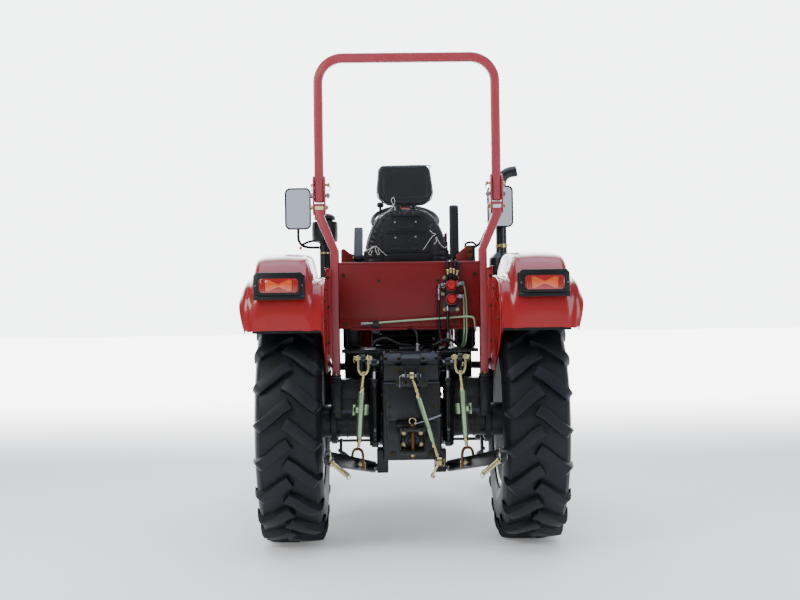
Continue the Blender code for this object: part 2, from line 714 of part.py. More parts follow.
back = prism("Y", [(x + SEAT_X, z) for x, z in back_line], 0.030, 0.125 - GAP)
part("seat_back", sheared(back, 1, 2, BACK_LEAN, BZ), VINYL)
ARM_PIVOT = (0.055, BZ + 0.20)
for letter, side, lift in (("L", -1, 38), ("R", 1, 86)):
    tip = (ARM_PIVOT[0] + 0.27 * math.cos(math.radians(lift)), ARM_PIVOT[1] + 0.27 * math.sin(math.radians(lift)))
    arm = prism("X", capsule(ARM_PIVOT, tip, 0.026, 0.022, 5), 0.2395, 0.293)
    boss = rod("X", ARM_PIVOT, 0.018, 0.232 + RUN, 0.25, 12)
    moved = [turned(sided(s, side), Matrix.Translation((SEAT_X, 0, 0))) for s in (arm, boss)]
    part(f"armrest_{letter}", moved[0], VINYL, add=moved[1:])

# ---- dash, steering wheel ----------------------------------------------------------------
AXIS = Vector((0.0, -math.sin(STEER_TILT), math.cos(STEER_TILT)))
TOP = Vector(STEER_C)
DASH_Y1 = 0.980
dash = prism(
    "X",
    [
        (DASH_Y1, FLOOR_Z + 0.02 + GAP), (DASH_Y1, HINGE_Z + 0.01), (0.94, HINGE_Z + 0.02), (0.82, HINGE_Z - 0.02),
        (0.80, HINGE_Z - 0.09), (0.87, HINGE_Z - 0.22), (0.87, FLOOR_Z + 0.02 + GAP),
    ],
    -0.205, 0.205,
)
column_foot = TOP - AXIS * 0.30
ears = [box((s * 0.0405, s * 0.056)[::s], (0.97, HINGE_Y + 0.02), (HINGE_Z - 0.04, HINGE_Z + 0.012)) for s in (-1, 1)]
part("dash", dash, BLACK, add=[tube([column_foot, TOP - AXIS * (0.012 + RUN)], 0.030, 12)] + ears)

flat = Matrix.Translation(TOP) @ Matrix.Rotation(STEER_TILT, 4, "X") @ Matrix.Rotation(math.radians(-90), 4, "Y")
grip = lathe(ring((0.0, WHEEL_R - 0.013), 0.013, 8), 28, (0, 0, 0), True)
hub = rod("X", (0.0, 0.0), 0.040, -0.012, 0.014, 16)
spokes = []
for angle in (90, 210, 330):
    spoke = box((-0.009, 0.003), (0.02, WHEEL_R - 0.010), (-0.013, 0.013))
    spokes.append(turned(spoke, flat @ Matrix.Rotation(math.radians(angle), 4, "X")))
part("steering_wheel", turned(grip, flat), BLACK, add=[turned(hub, flat)] + spokes, origin=STEER_C)

# ---- hood and grille ---------------------------------------------------------------------
HZ0 = 0.98 + DZ
side_line = [
    (1.0, HZ0), (1.0, HINGE_Z + 0.015), (1.55, HINGE_Z), (NOSE_Y - 0.35, HINGE_Z - 0.065),
    (NOSE_Y - 0.09, HINGE_Z - 0.155), (NOSE_Y, HINGE_Z - 0.335), (NOSE_Y, ZA + 0.25), (NOSE_Y - 0.20, ZA + 0.25),
    (NOSE_Y - 0.32, HZ0),
]
top_line = [
    (-HOOD_HALF, 0.5), (-HOOD_HALF, HINGE_Z - 0.15), (-HOOD_HALF + 0.06, HINGE_Z - 0.035), (-0.10, HINGE_Z + 0.02),
    (0.10, HINGE_Z + 0.02), (HOOD_HALF - 0.06, HINGE_Z - 0.035), (HOOD_HALF, HINGE_Z - 0.15), (HOOD_HALF, 0.5),
]
W = HOOD_WALL
hollow_side = [
    (0.9, 0.4), (0.9, HINGE_Z + 0.015 - W), (1.0, HINGE_Z + 0.015 - W), (1.55, HINGE_Z - W),
    (NOSE_Y - 0.35 - W / 4, HINGE_Z - 0.065 - W), (NOSE_Y - 0.09 - W * 0.8, HINGE_Z - 0.155 - W * 0.7),
    (NOSE_Y - W, HINGE_Z - 0.335 - W * 0.2), (NOSE_Y - W, 0.4),
]
hollow_top = [
    (-HOOD_HALF + W, 0.3), (-HOOD_HALF + W, HINGE_Z - 0.15 - W * 0.3), (-HOOD_HALF + 0.06 + W * 0.5, HINGE_Z - 0.035 - W * 0.8),
    (-0.10, HINGE_Z + 0.02 - W), (0.10, HINGE_Z + 0.02 - W), (HOOD_HALF - 0.06 - W * 0.5, HINGE_Z - 0.035 - W * 0.8),
    (HOOD_HALF - W, HINGE_Z - 0.15 - W * 0.3), (HOOD_HALF - W, 0.3),
]
hollow = tool("hood_hollow", prism("X", hollow_side, -HOOD_HALF - 0.1, HOOD_HALF + 0.1))
meet = hollow.modifiers.new("meet", "BOOLEAN")
meet.operation = "INTERSECT"
meet.solver = "EXACT"
meet.object = tool("hood_hollow_top", prism("Y", hollow_top, 0.8, NOSE_Y + 0.1))
GRILLE = ((-0.22, 0.22), (ZA + 0.30, HINGE_Z - 0.36))
window = box(GRILLE[0], (NOSE_Y - 0.03, NOSE_Y + 0.03), GRILLE[1])
notches = [box((s * 0.0395, s * 0.058)[::s], (0.99, HINGE_Y + 0.025), (HINGE_Z - 0.1, HINGE_Z + 0.05)) for s in (-1, 1)]
lug = box((-0.0395, 0.0395), (1.002, HINGE_Y + 0.022), (HINGE_Z - 0.04, HINGE_Z + 0.0105))
hood = part(
    "hood", prism("X", side_line, -HOOD_HALF - 0.05, HOOD_HALF + 0.05), RED,
    meet=[prism("Y", top_line, 0.9, NOSE_Y + 0.1)], origin=(0, HINGE_Y, HINGE_Z),
)
for label, kind, other in (
    ("hollow", "DIFFERENCE", hollow),
    ("window", "DIFFERENCE", tool("hood_window", window)),
    ("notch_0", "DIFFERENCE", tool("hood_notch_0", notches[0])),
    ("notch_1", "DIFFERENCE", tool("hood_notch_1", notches[1])),
    ("lug", "UNION", tool("hood_lug", lug)),
):
    step = hood.modifiers.new(label, "BOOLEAN")
    step.operation = kind
    step.solver = "EXACT"
    step.object = other
part(
    "grille",
    box(
        (GRILLE[0][0] + RUN, GRILLE[0][1] - RUN), (NOSE_Y - 0.022, NOSE_Y + 0.004),
        (GRILLE[1][0] + RUN, GRILLE[1][1] - RUN),
    ),
    BLACK, origin=(0, HINGE_Y, HINGE_Z),
)

# ---- exhaust, air intake, mirrors --------------------------------------------------------
STACK = (0.603, 0.945)
part(
    "exhaust",
    tube(
        [
            (*STACK, FLOOR_Z + 0.019 + GAP), (*STACK, ZA + 0.30), (*STACK, ZA + 0.31), (*STACK, 1.575), (*STACK, 1.610),
            (*STACK, 2.03), (STACK[0] + 0.012, STACK[1], 2.075), (STACK[0] + 0.045, STACK[1], 2.105), (STACK[0] + 0.10, STACK[1], 2.118),
        ],
        [0.045, 0.045, 0.080, 0.080, 0.036, 0.034, 0.034, 0.033, 0.033], 14,
    ),
    BLACK,
    add=[
        tube(
            [(STACK[0] - 0.03, STACK[1], ZA + 0.26), (0.42, 1.04, ZA + 0.26), (0.28, 1.13, ZA + 0.26), (0.17 + RUN, 1.13, ZA + 0.26)],
            0.024, 10,
        )
    ],
)
INTAKE = (-0.497, 0.945)
part(
    "air_intake",
    tube(
        [
            (*INTAKE, FLOOR_Z + 0.019 + GAP), (*INTAKE, 1.685), (*INTAKE, 1.705), (*INTAKE, 1.81), (*INTAKE, 1.825),
            (*INTAKE, 1.835), (*INTAKE, 1.85), (*INTAKE, 1.868),
        ],
        [0.034, 0.034, 0.080, 0.080, 0.045, 0.066, 0.066, 0.030], 14,
    ),
    BLACK,
    add=[
        tube(
            [(INTAKE[0] + 0.02, INTAKE[1], ZA + 0.26), (-0.36, 1.04, ZA + 0.26), (-0.26, 1.11, ZA + 0.26), (-0.17 - RUN, 1.11, ZA + 0.26)],
            0.024, 10,
        )
    ],
)


def build_mirror(name, side):
    x = 0.658 if side < 0 else 0.591
    column = abs(INTAKE[0]) + 0.034 if side < 0 else None
    plate = prism(
        "Y",
        [
            (x - 0.060, 1.762), (x + 0.060, 1.762), (x + 0.081, 1.785), (x + 0.081, 1.997), (x + 0.060, 2.020),
            (x - 0.060, 2.020), (x - 0.081, 1.997), (x - 0.081, 1.785),
        ],
        0.860, 0.890,
    )
    if side < 0:
        arm = [(x, 0.880, 1.80), (x, 0.900, 1.80), (x, 0.905, 1.70), (x - 0.02, 0.925, 1.665), (column + 0.0006, 0.945, 1.655)]
    else:
        arm = [
            (x, 0.880, 1.80), (x, 0.890, 1.80), (x - 0.09, 0.850, 1.74), (x - 0.13, 0.850, 1.66),
            (0.40, 0.87, 1.62), (0.30, 0.91, 1.47), (0.27, 0.92, 1.46), (0.205 + GAP, 0.92, 1.46),
        ]
    part(name, sided(plate, side), BLACK, add=[sided(tube(arm, 0.009, 8), side)])


pair("mirror", build_mirror)

# ---- hitch -------------------------------------------------------------------------------
jaw = prism(
    "X",
    [
        (CASE_BACK - GAP, ZA - 0.145), (CASE_BACK - GAP, ZA - 0.008), (-0.430, ZA - 0.008), (-0.430, ZA - 0.028),
        (CASE_BACK - 0.016, ZA - 0.028), (CASE_BACK - 0.016, ZA - 0.125), (-0.440, ZA - 0.125), (-0.440, ZA - 0.145),
    ],
    -0.066, 0.066,
)
PTO = (0.0, ZA - 0.082)
part(
    "drawbar_jaw", jaw, BLACK,
    add=[rod("Z", (0.0, JAW_PIN_Y - 0.018), 0.011, ZA - 0.175, ZA + 0.010, 12)],
    cut=[rod("Y", PTO, 0.026, CASE_BACK - 0.03, CASE_BACK + 0.03, 16)],
)
part(
    "pto_shaft",
    rod("Y", PTO, 0.0175, CASE_BACK - 0.078, CASE_BACK - RUN, 16),
    CHROME, origin=(0, CASE_BACK, PTO[1]),
)

arms = []
for side in (-1, 1):
    arm = prism("X", capsule(SHAFT, ARM_END, 0.040, 0.022, 6), LIFT_X - 0.014, LIFT_X + 0.014)
    arms.append(sided(arm, side))
    arms.append(sided(rod("X", SHAFT, 0.034, CASE_HALF + 0.004, LIFT_X, 16), side))
    arms.append(sided(rod("X", CYL_HEAD, 0.008, CYL_X - 0.022, LIFT_X, 12), side))
    arms.append(sided(rod("X", ARM_END, 0.010, LIFT_X - 0.036, LIFT_X + 0.036, 12), side))
part(
    "lift_arms", rod("X", SHAFT, 0.025, -CASE_HALF - 0.03, CASE_HALF + 0.03, 24), BLACK,
    add=arms, origin=(0, *SHAFT),
)


def build_lower_link(name, side):
    splay = dict(target=0, source=1, slope=-LINK_SPLAY, zero=LINK_FRONT[0])
    bar = sheared(
        prism("X", capsule(LINK_FRONT, LINK_REAR, 0.030, EYE_R, 6), LINK_X0 - LINK_T / 2, LINK_X0 + LINK_T / 2), **splay
    )
    ball = sheared(rod("X", LINK_REAR, 0.026, LINK_X0 - 0.021, LINK_X0 + 0.021, 14), **splay)
    pin = rod("X", ROD_FOOT, 0.010, ROD_FOOT_X - 0.040, ROD_FOOT_X + 0.040, 12)
    bore = rod("X", LINK_FRONT, 0.014 + PIN_FIT, LINK_X0 - 0.1, LINK_X0 + 0.1, 16)
    eye = sheared(rod("X", LINK_REAR, 0.0142, LINK_X0 - 0.05, LINK_X0 + 0.05, 16), **splay)
    part(
        name, sided(bar, side), BLACK, add=[sided(ball, side), sided(pin, side)],
        cut=[sided(bore, side), sided(eye, side)], origin=(side * LINK_X0, *LINK_FRONT),
    )


pair("lower_link", build_lower_link)


def build_lift_rod(name, side):
    by, bz = ARM_END
    fy, fz = ROD_FOOT
    clevis = box((LIFT_X - 0.032, LIFT_X + 0.032), (by - 0.019, by + 0.019), (bz - 0.095, bz + 0.020))
    slot = box((LIFT_X - 0.014 - RUN, LIFT_X + 0.014 + RUN), (by - 0.05, by + 0.05), (bz - 0.060, bz + 0.05))
    pin_hole = rod("X", ARM_END, 0.010 + PIN_FIT, LIFT_X - 0.08, LIFT_X + 0.08, 12)
    fork = box((ROD_FOOT_X - 0.037, ROD_FOOT_X + 0.037), (fy - 0.019, fy + 0.019), (fz - 0.028, fz + 0.095))
    gate = box((ROD_FOOT_X - 0.0215, ROD_FOOT_X + 0.0215), (fy - 0.05, fy + 0.05), (fz - 0.06, fz + 0.060))
    foot_hole = rod("X", ROD_FOOT, 0.010 + EYE_FIT, ROD_FOOT_X - 0.08, ROD_FOOT_X + 0.08, 12)
    bar = tube([(LIFT_X, by, bz - 0.085), (ROD_FOOT_X, fy, fz + 0.085)], 0.0175, 14)
    shapes = [clevis, fork, slot, pin_hole, gate, foot_hole]
    done = [sided(s, side) for s in shapes]
    part(name, sided(bar, side), ZINC, add=done[:2], cut=done[2:], origin=(side * LIFT_X, *ARM_END))


pair("lift_rod", build_lift_rod)

CYL_FROM = Vector((0, *CYL_FOOT))
CYL_TO = Vector((0, *CYL_HEAD))
CYL_DIR = (CYL_TO - CYL_FROM).normalized()
CYL_LEN = (CYL_TO - CYL_FROM).length


def build_cylinder(letter, side):
    x = Vector((CYL_X, 0, 0))
    barrel = tube([x + CYL_FROM + CYL_DIR * 0.010, x + CYL_FROM + CYL_DIR * 0.335], 0.028, 16)
    eye = rod("X", CYL_FOOT, 0.023, CYL_X - 0.018, CYL_X + 0.018, 14)
    bore = tube([x + CYL_FROM + CYL_DIR * 0.050, x + CYL_FROM + CYL_DIR * 0.40], 0.0135, 16)
    hole = rod("X", CYL_FOOT, 0.012 + PIN_FIT, CYL_X - 0.06, CYL_X + 0.06, 16)
    part(
        f"assist_barrel_{letter}", sided(barrel, side), BLACK, add=[sided(eye, side)],
        cut=[sided(bore, side), sided(hole, side)], origin=(side * CYL_X, *CYL_FOOT),
    )
    stem = tube([x + CYL_FROM + CYL_DIR * 0.160, x + CYL_TO - CYL_DIR * 0.017], 0.0125, 16)
    head = rod("X", CYL_HEAD, 0.0240, CYL_X - 0.015, CYL_X + 0.015, 14)
    gate = rod("X", CYL_HEAD, 0.008 + HEAD_FIT, CYL_X - 0.06, CYL_X + 0.06, 12)
    part(
        f"assist_rod_{letter}", sided(stem, side), CHROME, add=[sided(head, side)],
        cut=[sided(gate, side)], origin=(side * CYL_X, *CYL_HEAD),
    )


build_cylinder("L", -1)
build_cylinder("R", 1)

HANG = Vector((0.135, -0.395, ZA - 0.185))
start = Vector((0.0, *TOP_PIN))
lean = (HANG - start).normalized()
part(
    "top_link",
    tube([start + lean * 0.012, HANG - lean * 0.012], 0.012, 12),
    ZINC,
    add=[
        rod("X", TOP_PIN, 0.022, -0.016, 0.016, 14),
        tube([HANG - Vector((0.017, 0, 0.0)), HANG + Vector((0.017, 0, 0.0))], 0.024, 14),
    ],
    cut=[rod("X", TOP_PIN, 0.010 + PIN_FIT, -0.05, 0.05, 12)],
    origin=(0, *TOP_PIN),
)

# ---- remote couplers ---------------------------------------------------------------------
part(
    "coupler_block",
    prism(
        "X",
        [
            (-0.112 - GAP, 1.245), (-0.112 - GAP, 1.425), (-0.135, 1.425), (-0.165, 1.395), (-0.185, 1.395),
            (-0.185, 1.275), (-0.150, 1.245),
        ],
        0.185, 0.262,
    ),
    BLACK,
)
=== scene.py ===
"""Looks of the farm tractor: detailed pieces on the CAD frame, materials, light and camera."""

import random
from math import atan2, cos, exp, hypot, pi, radians, sin, tau

import bmesh
import bpy
from mathutils import Matrix, Vector, noise


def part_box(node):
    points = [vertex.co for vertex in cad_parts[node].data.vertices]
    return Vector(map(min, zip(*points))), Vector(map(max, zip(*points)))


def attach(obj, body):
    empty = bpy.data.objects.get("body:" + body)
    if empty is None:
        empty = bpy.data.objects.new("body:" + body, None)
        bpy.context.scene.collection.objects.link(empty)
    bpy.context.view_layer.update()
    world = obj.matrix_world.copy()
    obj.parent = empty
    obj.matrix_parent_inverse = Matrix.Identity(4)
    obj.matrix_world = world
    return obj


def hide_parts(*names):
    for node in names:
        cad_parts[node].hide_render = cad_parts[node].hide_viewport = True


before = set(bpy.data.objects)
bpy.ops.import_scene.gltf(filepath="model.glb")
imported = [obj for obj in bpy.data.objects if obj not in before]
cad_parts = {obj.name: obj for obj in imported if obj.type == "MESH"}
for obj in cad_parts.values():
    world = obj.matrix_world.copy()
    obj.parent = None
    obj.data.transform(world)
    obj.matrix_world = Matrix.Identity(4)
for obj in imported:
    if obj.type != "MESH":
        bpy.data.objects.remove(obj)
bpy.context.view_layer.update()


def centre(node):
    """The middle of a CAD node's box."""
    low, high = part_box(node)
    return (low + high) / 2


SY = centre("rear_tyre_L").y     # rear axle; lengths along Y below are counted from it
ZA = centre("rear_tyre_L").z
YF = centre("front_tyre_L").y - SY
ZF = centre("front_tyre_L").z
random.seed(7)


# ---- colours and materials ---------------------------------------------------------------
def hex_rgb(text):
    """An sRGB hex colour as linear numbers."""
    out = []
    for i in (0, 2, 4):
        c = int(text[i:i + 2], 16) / 255
        out.append(c / 12.92 if c <= 0.04045 else ((c + 0.055) / 1.055) ** 2.4)
    return (*out, 1.0)


def finish_of(name, colour, rough, metal=0.0, coat=0.0, coat_rough=0.05, vary=0.12, scale=6.0, dust_and_sheen=None,
              dust_and_sheen_amount=0.0, bump=0.0, bump_scale=300.0, spec=0.5, sheen=0.0, transmission=0.0,
              alpha=1.0):
    """A Principled finish whose colour and roughness wander a little, with a paler colour mixed onto faces
    that look up: dust, and on some finishes also painted sky highlight and sheen.
    """
    made = bpy.data.materials.new(name)
    made.use_nodes = True
    tree = made.node_tree
    shader = tree.nodes["Principled BSDF"]
    put = tree.links.new
    shader.inputs["Metallic"].default_value = metal
    shader.inputs["Roughness"].default_value = rough
    shader.inputs["Coat Weight"].default_value = coat
    shader.inputs["Coat Roughness"].default_value = coat_rough
    shader.inputs["Sheen Weight"].default_value = sheen
    shader.inputs["Transmission Weight"].default_value = transmission
    shader.inputs["Alpha"].default_value = alpha
    if metal < 0.5:
        shader.inputs["Specular IOR Level"].default_value = spec
    base = hex_rgb(colour)
    where = tree.nodes.new("ShaderNodeTexCoord")
    cloud = tree.nodes.new("ShaderNodeTexNoise")
    cloud.inputs["Scale"].default_value = scale
    cloud.inputs["Detail"].default_value = 6.0
    put(where.outputs["Object"], cloud.inputs["Vector"])
    mix = tree.nodes.new("ShaderNodeMix")
    mix.data_type = "RGBA"
    mix.inputs["A"].default_value = tuple(c * (1 - vary) for c in base[:3]) + (1.0,)
    mix.inputs["B"].default_value = tuple(min(1.0, c * (1 + vary)) for c in base[:3]) + (1.0,)
    put(cloud.outputs["Fac"], mix.inputs["Factor"])
    colour_out = mix.outputs["Result"]
    # paler colour on upward faces: dust, and on the black and roll-bar finishes also painted highlight from
    # the sky
    if dust_and_sheen:
        geometry = tree.nodes.new("ShaderNodeNewGeometry")
        split = tree.nodes.new("ShaderNodeSeparateXYZ")
        put(geometry.outputs["Normal"], split.inputs["Vector"])
        grain = tree.nodes.new("ShaderNodeTexNoise")
        grain.inputs["Scale"].default_value = scale * 2.3
        grain.inputs["Detail"].default_value = 9.0
        grain.inputs["Roughness"].default_value = 0.7
        put(where.outputs["Object"], grain.inputs["Vector"])
        up = tree.nodes.new("ShaderNodeMapRange")
        up.inputs["From Min"].default_value = -0.35
        up.inputs["From Max"].default_value = 1.0
        up.inputs["To Max"].default_value = dust_and_sheen_amount
        put(split.outputs["Z"], up.inputs["Value"])
        amount = tree.nodes.new("ShaderNodeMath")
        amount.operation = "MULTIPLY"
        put(up.outputs["Result"], amount.inputs[0])
        put(grain.outputs["Fac"], amount.inputs[1])
        over = tree.nodes.new("ShaderNodeMix")
        over.data_type = "RGBA"
        over.inputs["B"].default_value = hex_rgb(dust_and_sheen)
        put(colour_out, over.inputs["A"])
        put(amount.outputs["Value"], over.inputs["Factor"])
        colour_out = over.outputs["Result"]
    put(colour_out, shader.inputs["Base Color"])
    span = tree.nodes.new("ShaderNodeMapRange")
    span.inputs["To Min"].default_value = max(0.02, rough * 0.85)
    span.inputs["To Max"].default_value = min(1.0, rough * 1.2)
    put(cloud.outputs["Fac"], span.inputs["Value"])
    put(span.outputs["Result"], shader.inputs["Roughness"])
    if bump:
        fine = tree.nodes.new("ShaderNodeTexNoise")
        fine.inputs["Scale"].default_value = bump_scale
        fine.inputs["Detail"].default_value = 3.0
        put(where.outputs["Object"], fine.inputs["Vector"])
        lift = tree.nodes.new("ShaderNodeBump")
        lift.inputs["Strength"].default_value = bump
        lift.inputs["Distance"].default_value = 0.001
        put(fine.outputs["Fac"], lift.inputs["Height"])
        put(lift.outputs["Normal"], shader.inputs["Normal"])
    return made


RED = finish_of("gloss_red_moulding", "8A0004", 0.28, spec=0.35, coat=0.55, coat_rough=0.06, vary=0.05,
    scale=3, dust_and_sheen="B9857D", dust_and_sheen_amount=0.05)
RED_STEEL = finish_of("red_painted_steel", "640105", 0.4, spec=0.25, coat=0.12, coat_rough=0.22, vary=0.12,
    scale=9, dust_and_sheen="A87F78", dust_and_sheen_amount=0.1, bump=0.15, bump_scale=160)
# pale pink on upward faces of the roll bar: dust and painted sheen
RED_BAR = finish_of("red_roll_bar_paint", "8E2631", 0.36, coat=0.3, coat_rough=0.22, vary=0.14, scale=14,
    dust_and_sheen="B98F8A", dust_and_sheen_amount=0.2, bump=0.2, bump_scale=140)
# blue-grey on upward faces of the black casting: dust and painted sky highlight
CASE = finish_of("black_painted_casting", "06070A", 0.4, coat=0.25, coat_rough=0.25, vary=0.25, scale=18,
    dust_and_sheen="3A3F4A", dust_and_sheen_amount=0.12, bump=0.5, bump_scale=220, spec=0.3)
# blue-grey on upward faces of the black steel: dust and painted sky highlight
BLACK = finish_of("satin_black_steel", "050609", 0.32, coat=0.3, coat_rough=0.2, vary=0.2, scale=12,
    dust_and_sheen="3A3F4A", dust_and_sheen_amount=0.1, bump=0.1, spec=0.3)
# blue-grey on upward faces of the black plastic: dust and painted sky highlight
PLASTIC = finish_of("black_moulded_plastic", "08090B", 0.42, vary=0.12, scale=20, dust_and_sheen="3C3F46",
    dust_and_sheen_amount=0.08, bump=0.25, bump_scale=700, spec=0.3)
# tyre rubber tinted blue in its base colour: painted sky reflection; its beige-grey on upward faces is dust
RUBBER = finish_of("tyre_rubber", "080C13", 0.46, vary=0.22, scale=10, dust_and_sheen="3E3D3A", dust_and_sheen_amount=0.1,
    bump=0.35, bump_scale=260, spec=0.3)
HOSE = finish_of("hose_rubber", "060708", 0.42, vary=0.15, scale=40, bump=0.2, bump_scale=500, spec=0.3)
SILVER = finish_of("silver_rim_paint", "C4C6C6", 0.33, coat=0.3, vary=0.05, scale=12, dust_and_sheen="8E877A",
    dust_and_sheen_amount=0.15)
ZINC = finish_of("yellow_zinc_plate", "ADA274", 0.26, metal=1.0, vary=0.16, scale=30)
GREENZINC = finish_of("olive_zinc_plate", "8DA581", 0.3, metal=0.9, vary=0.18, scale=26)
STEEL = finish_of("bare_steel", "84878B", 0.28, metal=1.0, vary=0.12, scale=24)
CHROME = finish_of("hard_chrome", "D6D8DA", 0.1, metal=1.0, vary=0.03, scale=10)
BRONZE = finish_of("brown_passivated_steel", "5E4028", 0.38, metal=0.9, vary=0.2, scale=40)
CAP_RED = finish_of("red_rubber_cap", "A0060C", 0.4, vary=0.06, scale=20)
# blue-grey on upward faces of the seat vinyl: dust and painted sky highlight
VINYL = finish_of("black_seat_vinyl", "07080B", 0.42, vary=0.16, scale=14, dust_and_sheen="343A46", dust_and_sheen_amount=0.14,
    bump=0.6, bump_scale=420, sheen=0.15, spec=0.3)
STRING = finish_of("white_cord", "D2CFC6", 0.8, vary=0.1, scale=60)
MIRROR = finish_of("silvered_glass", "DDE6EC", 0.03, metal=1.0, vary=0.02, scale=3)
# the mirror glass glows pale blue: painted reflection of the sky
MIRROR.node_tree.nodes["Principled BSDF"].inputs["Emission Color"].default_value = hex_rgb("D6E6FF")
MIRROR.node_tree.nodes["Principled BSDF"].inputs["Emission Strength"].default_value = 0.35
RED_LENS = finish_of("red_lens", "8E0502", 0.1, coat=1.0, coat_rough=0.03, vary=0.25, scale=60)
AMBER = finish_of("amber_lens", "C24A02", 0.1, coat=1.0, coat_rough=0.03, vary=0.15, scale=60)
CLEAR = finish_of("clear_lens", "E8ECEE", 0.06, coat=1.0, vary=0.03, scale=20)
BAND = finish_of("blank_pale_band", "C9D08C", 0.45, vary=0.08, scale=30)
STUD = finish_of("dark_passivated_bolts", "3A3626", 0.36, metal=1.0, vary=0.25, scale=60)
PALE = finish_of("blank_silver_band", "C8CACC", 0.35, vary=0.05, scale=30)
GRILLE = finish_of("black_grille_mesh", "060708", 0.5, vary=0.1, scale=20)


# ---- shapes ------------------------------------------------------------------------------
def span(side, a, b, middle=0.0):
    """Two places across the machine, low first, on the left when side is -1."""
    return tuple(sorted((middle + side * a, middle + side * b)))


def outward(bm):
    """Faces turned to point out of a closed shape."""
    bmesh.ops.recalc_face_normals(bm, faces=bm.faces)
    if bm.calc_volume(signed=True) < 0:
        bmesh.ops.reverse_faces(bm, faces=bm.faces)
    return bm


def soft(bm, width, seg=2, angle=28):
    """Rounds the edges sharper than an angle."""
    if width <= 0:
        return bm
    edges = [e for e in bm.edges if len(e.link_faces) == 2 and e.calc_face_angle(0) > radians(angle)]
    bmesh.ops.bevel(bm, geom=edges, offset=width, segments=seg, profile=0.5, affect="EDGES",
        clamp_overlap=True)
    return bm


def box(x, y, z, r=0.0, seg=2):
    """A block between two places on each axis; r rounds its edges."""
    bm = bmesh.new()
    size = (x[1] - x[0], y[1] - y[0], z[1] - z[0])
    place = Matrix.Translation(((x[0] + x[1]) / 2, (y[0] + y[1]) / 2 + SY, (z[0] + z[1]) / 2))
    bmesh.ops.create_cube(bm, size=1.0, matrix=place @ Matrix.Diagonal((*size, 1.0)))
    return soft(bm, r, seg)


def prism(axis, points, low, high, r=0.0, seg=2):
    """An outline drawn across an axis, run along it from low to high."""
    bm = bmesh.new()
    put = {
        "X": lambda a, b, c: (c, a + SY, b),
        "Y": lambda a, b, c: (a, c + SY, b),
        "Z": lambda a, b, c: (a, b + SY, c),
    }[axis]
    rows = [[bm.verts.new(put(a, b, end)) for a, b in points] for end in (low, high)]
    n = len(points)
    bm.faces.new(rows[0])
    bm.faces.new(rows[1])
    for i in range(n):
        bm.faces.new((rows[0][i], rows[0][(i + 1) % n], rows[1][(i + 1) % n], rows[1][i]))
    return soft(outward(bm), r, seg)


def ring(c, radius, n, start=0.0):
    """n points of a circle about c."""
    return [(c[0] + radius * cos(start + tau * i / n), c[1] + radius * sin(start + tau * i / n))
        for i in range(n)]


def rod(axis, c, radius, low, high, n=24, r=0.0, seg=2):
    """A round bar along an axis; r rounds its rims."""
    return prism(axis, ring(c, radius, n), low, high, r, seg)


def capsule(a, b, ra, rb, n=10):
    """The outline of a bar with round ends of two radii."""
    turn = atan2(b[1] - a[1], b[0] - a[0])
    out = []
    for c, radius, first in ((b, rb, turn - pi / 2), (a, ra, turn + pi / 2)):
        out += [(c[0] + radius * cos(first + pi * i / n), c[1] + radius * sin(first + pi * i / n))
            for i in range(n + 1)]
    return out


def rounded(w, h, r, c=(0, 0), n=5):
    """A rectangle's outline with round corners, centred on c."""
    out = []
    for sx, sy, first in ((1, 1, 0), (-1, 1, 90), (-1, -1, 180), (1, -1, 270)):
        for i in range(n + 1):
            a = radians(first + 90 * i / n)
            out.append((c[0] + sx * (w / 2 - r) + r * cos(a), c[1] + sy * (h / 2 - r) + r * sin(a)))
    return out


def lathe(profile, c, n=64, closed=False, axis="X"):
    """A profile of (along, radius) turned about an axis through c (Y counted from the rear axle)."""
    bm = bmesh.new()
    rows = []
    for a, r in profile:
        count = 1 if r < 1e-6 else n
        row = []
        for i in range(count):
            p, q = r * cos(tau * i / n), r * sin(tau * i / n)
            x, y, z = {"X": (a, p, q), "Y": (p, a, q), "Z": (p, q, a)}[axis]
            row.append(bm.verts.new((c[0] + x, c[1] + SY + y, c[2] + z)))
        rows.append(row)
    for a, b in zip(rows, rows[1:] + rows[:1] if closed else rows[1:]):
        for i in range(n):
            j = (i + 1) % n
            if len(a) == 1 and len(b) == 1:
                break
            if len(a) == 1:
                bm.faces.new((a[0], b[i], b[j]))
            elif len(b) == 1:
                bm.faces.new((a[i], a[j], b[0]))
            else:
                bm.faces.new((a[i], a[j], b[j], b[i]))
    return outward(bm)


def curve_points(path, per=8):
    """A smooth line through the points."""
    pts = [Vector(p) for p in path]
    pts = [2 * pts[0] - pts[1]] + pts + [2 * pts[-1] - pts[-2]]
    out = []
    for a, b, c, d in zip(pts, pts[1:], pts[2:], pts[3:]):
        for i in range(per):
            t = i / per
            out.append(0.5 * ((2 * b) + (c - a) * t + (2 * a - 5 * b + 4 * c - d) * t * t
                + (3 * b - a - 3 * c + d) * t ** 3))
    return out + [pts[-2]]


def bends(path, radius, n=6):
    """A line of straights with its corners rounded."""
    pts = [Vector(p) for p in path]
    out = [pts[0]]
    for a, b, c in zip(pts, pts[1:], pts[2:]):
        u, v = (a - b), (c - b)
        d = min(radius, u.length * 0.45, v.length * 0.45)
        p, q = b + u.normalized() * d, b + v.normalized() * d
        out += [p * (1 - t) ** 2 + 2 * b * t * (1 - t) + q * t * t for t in [i / n for i in range(n + 1)]]
    return out + [pts[-1]]


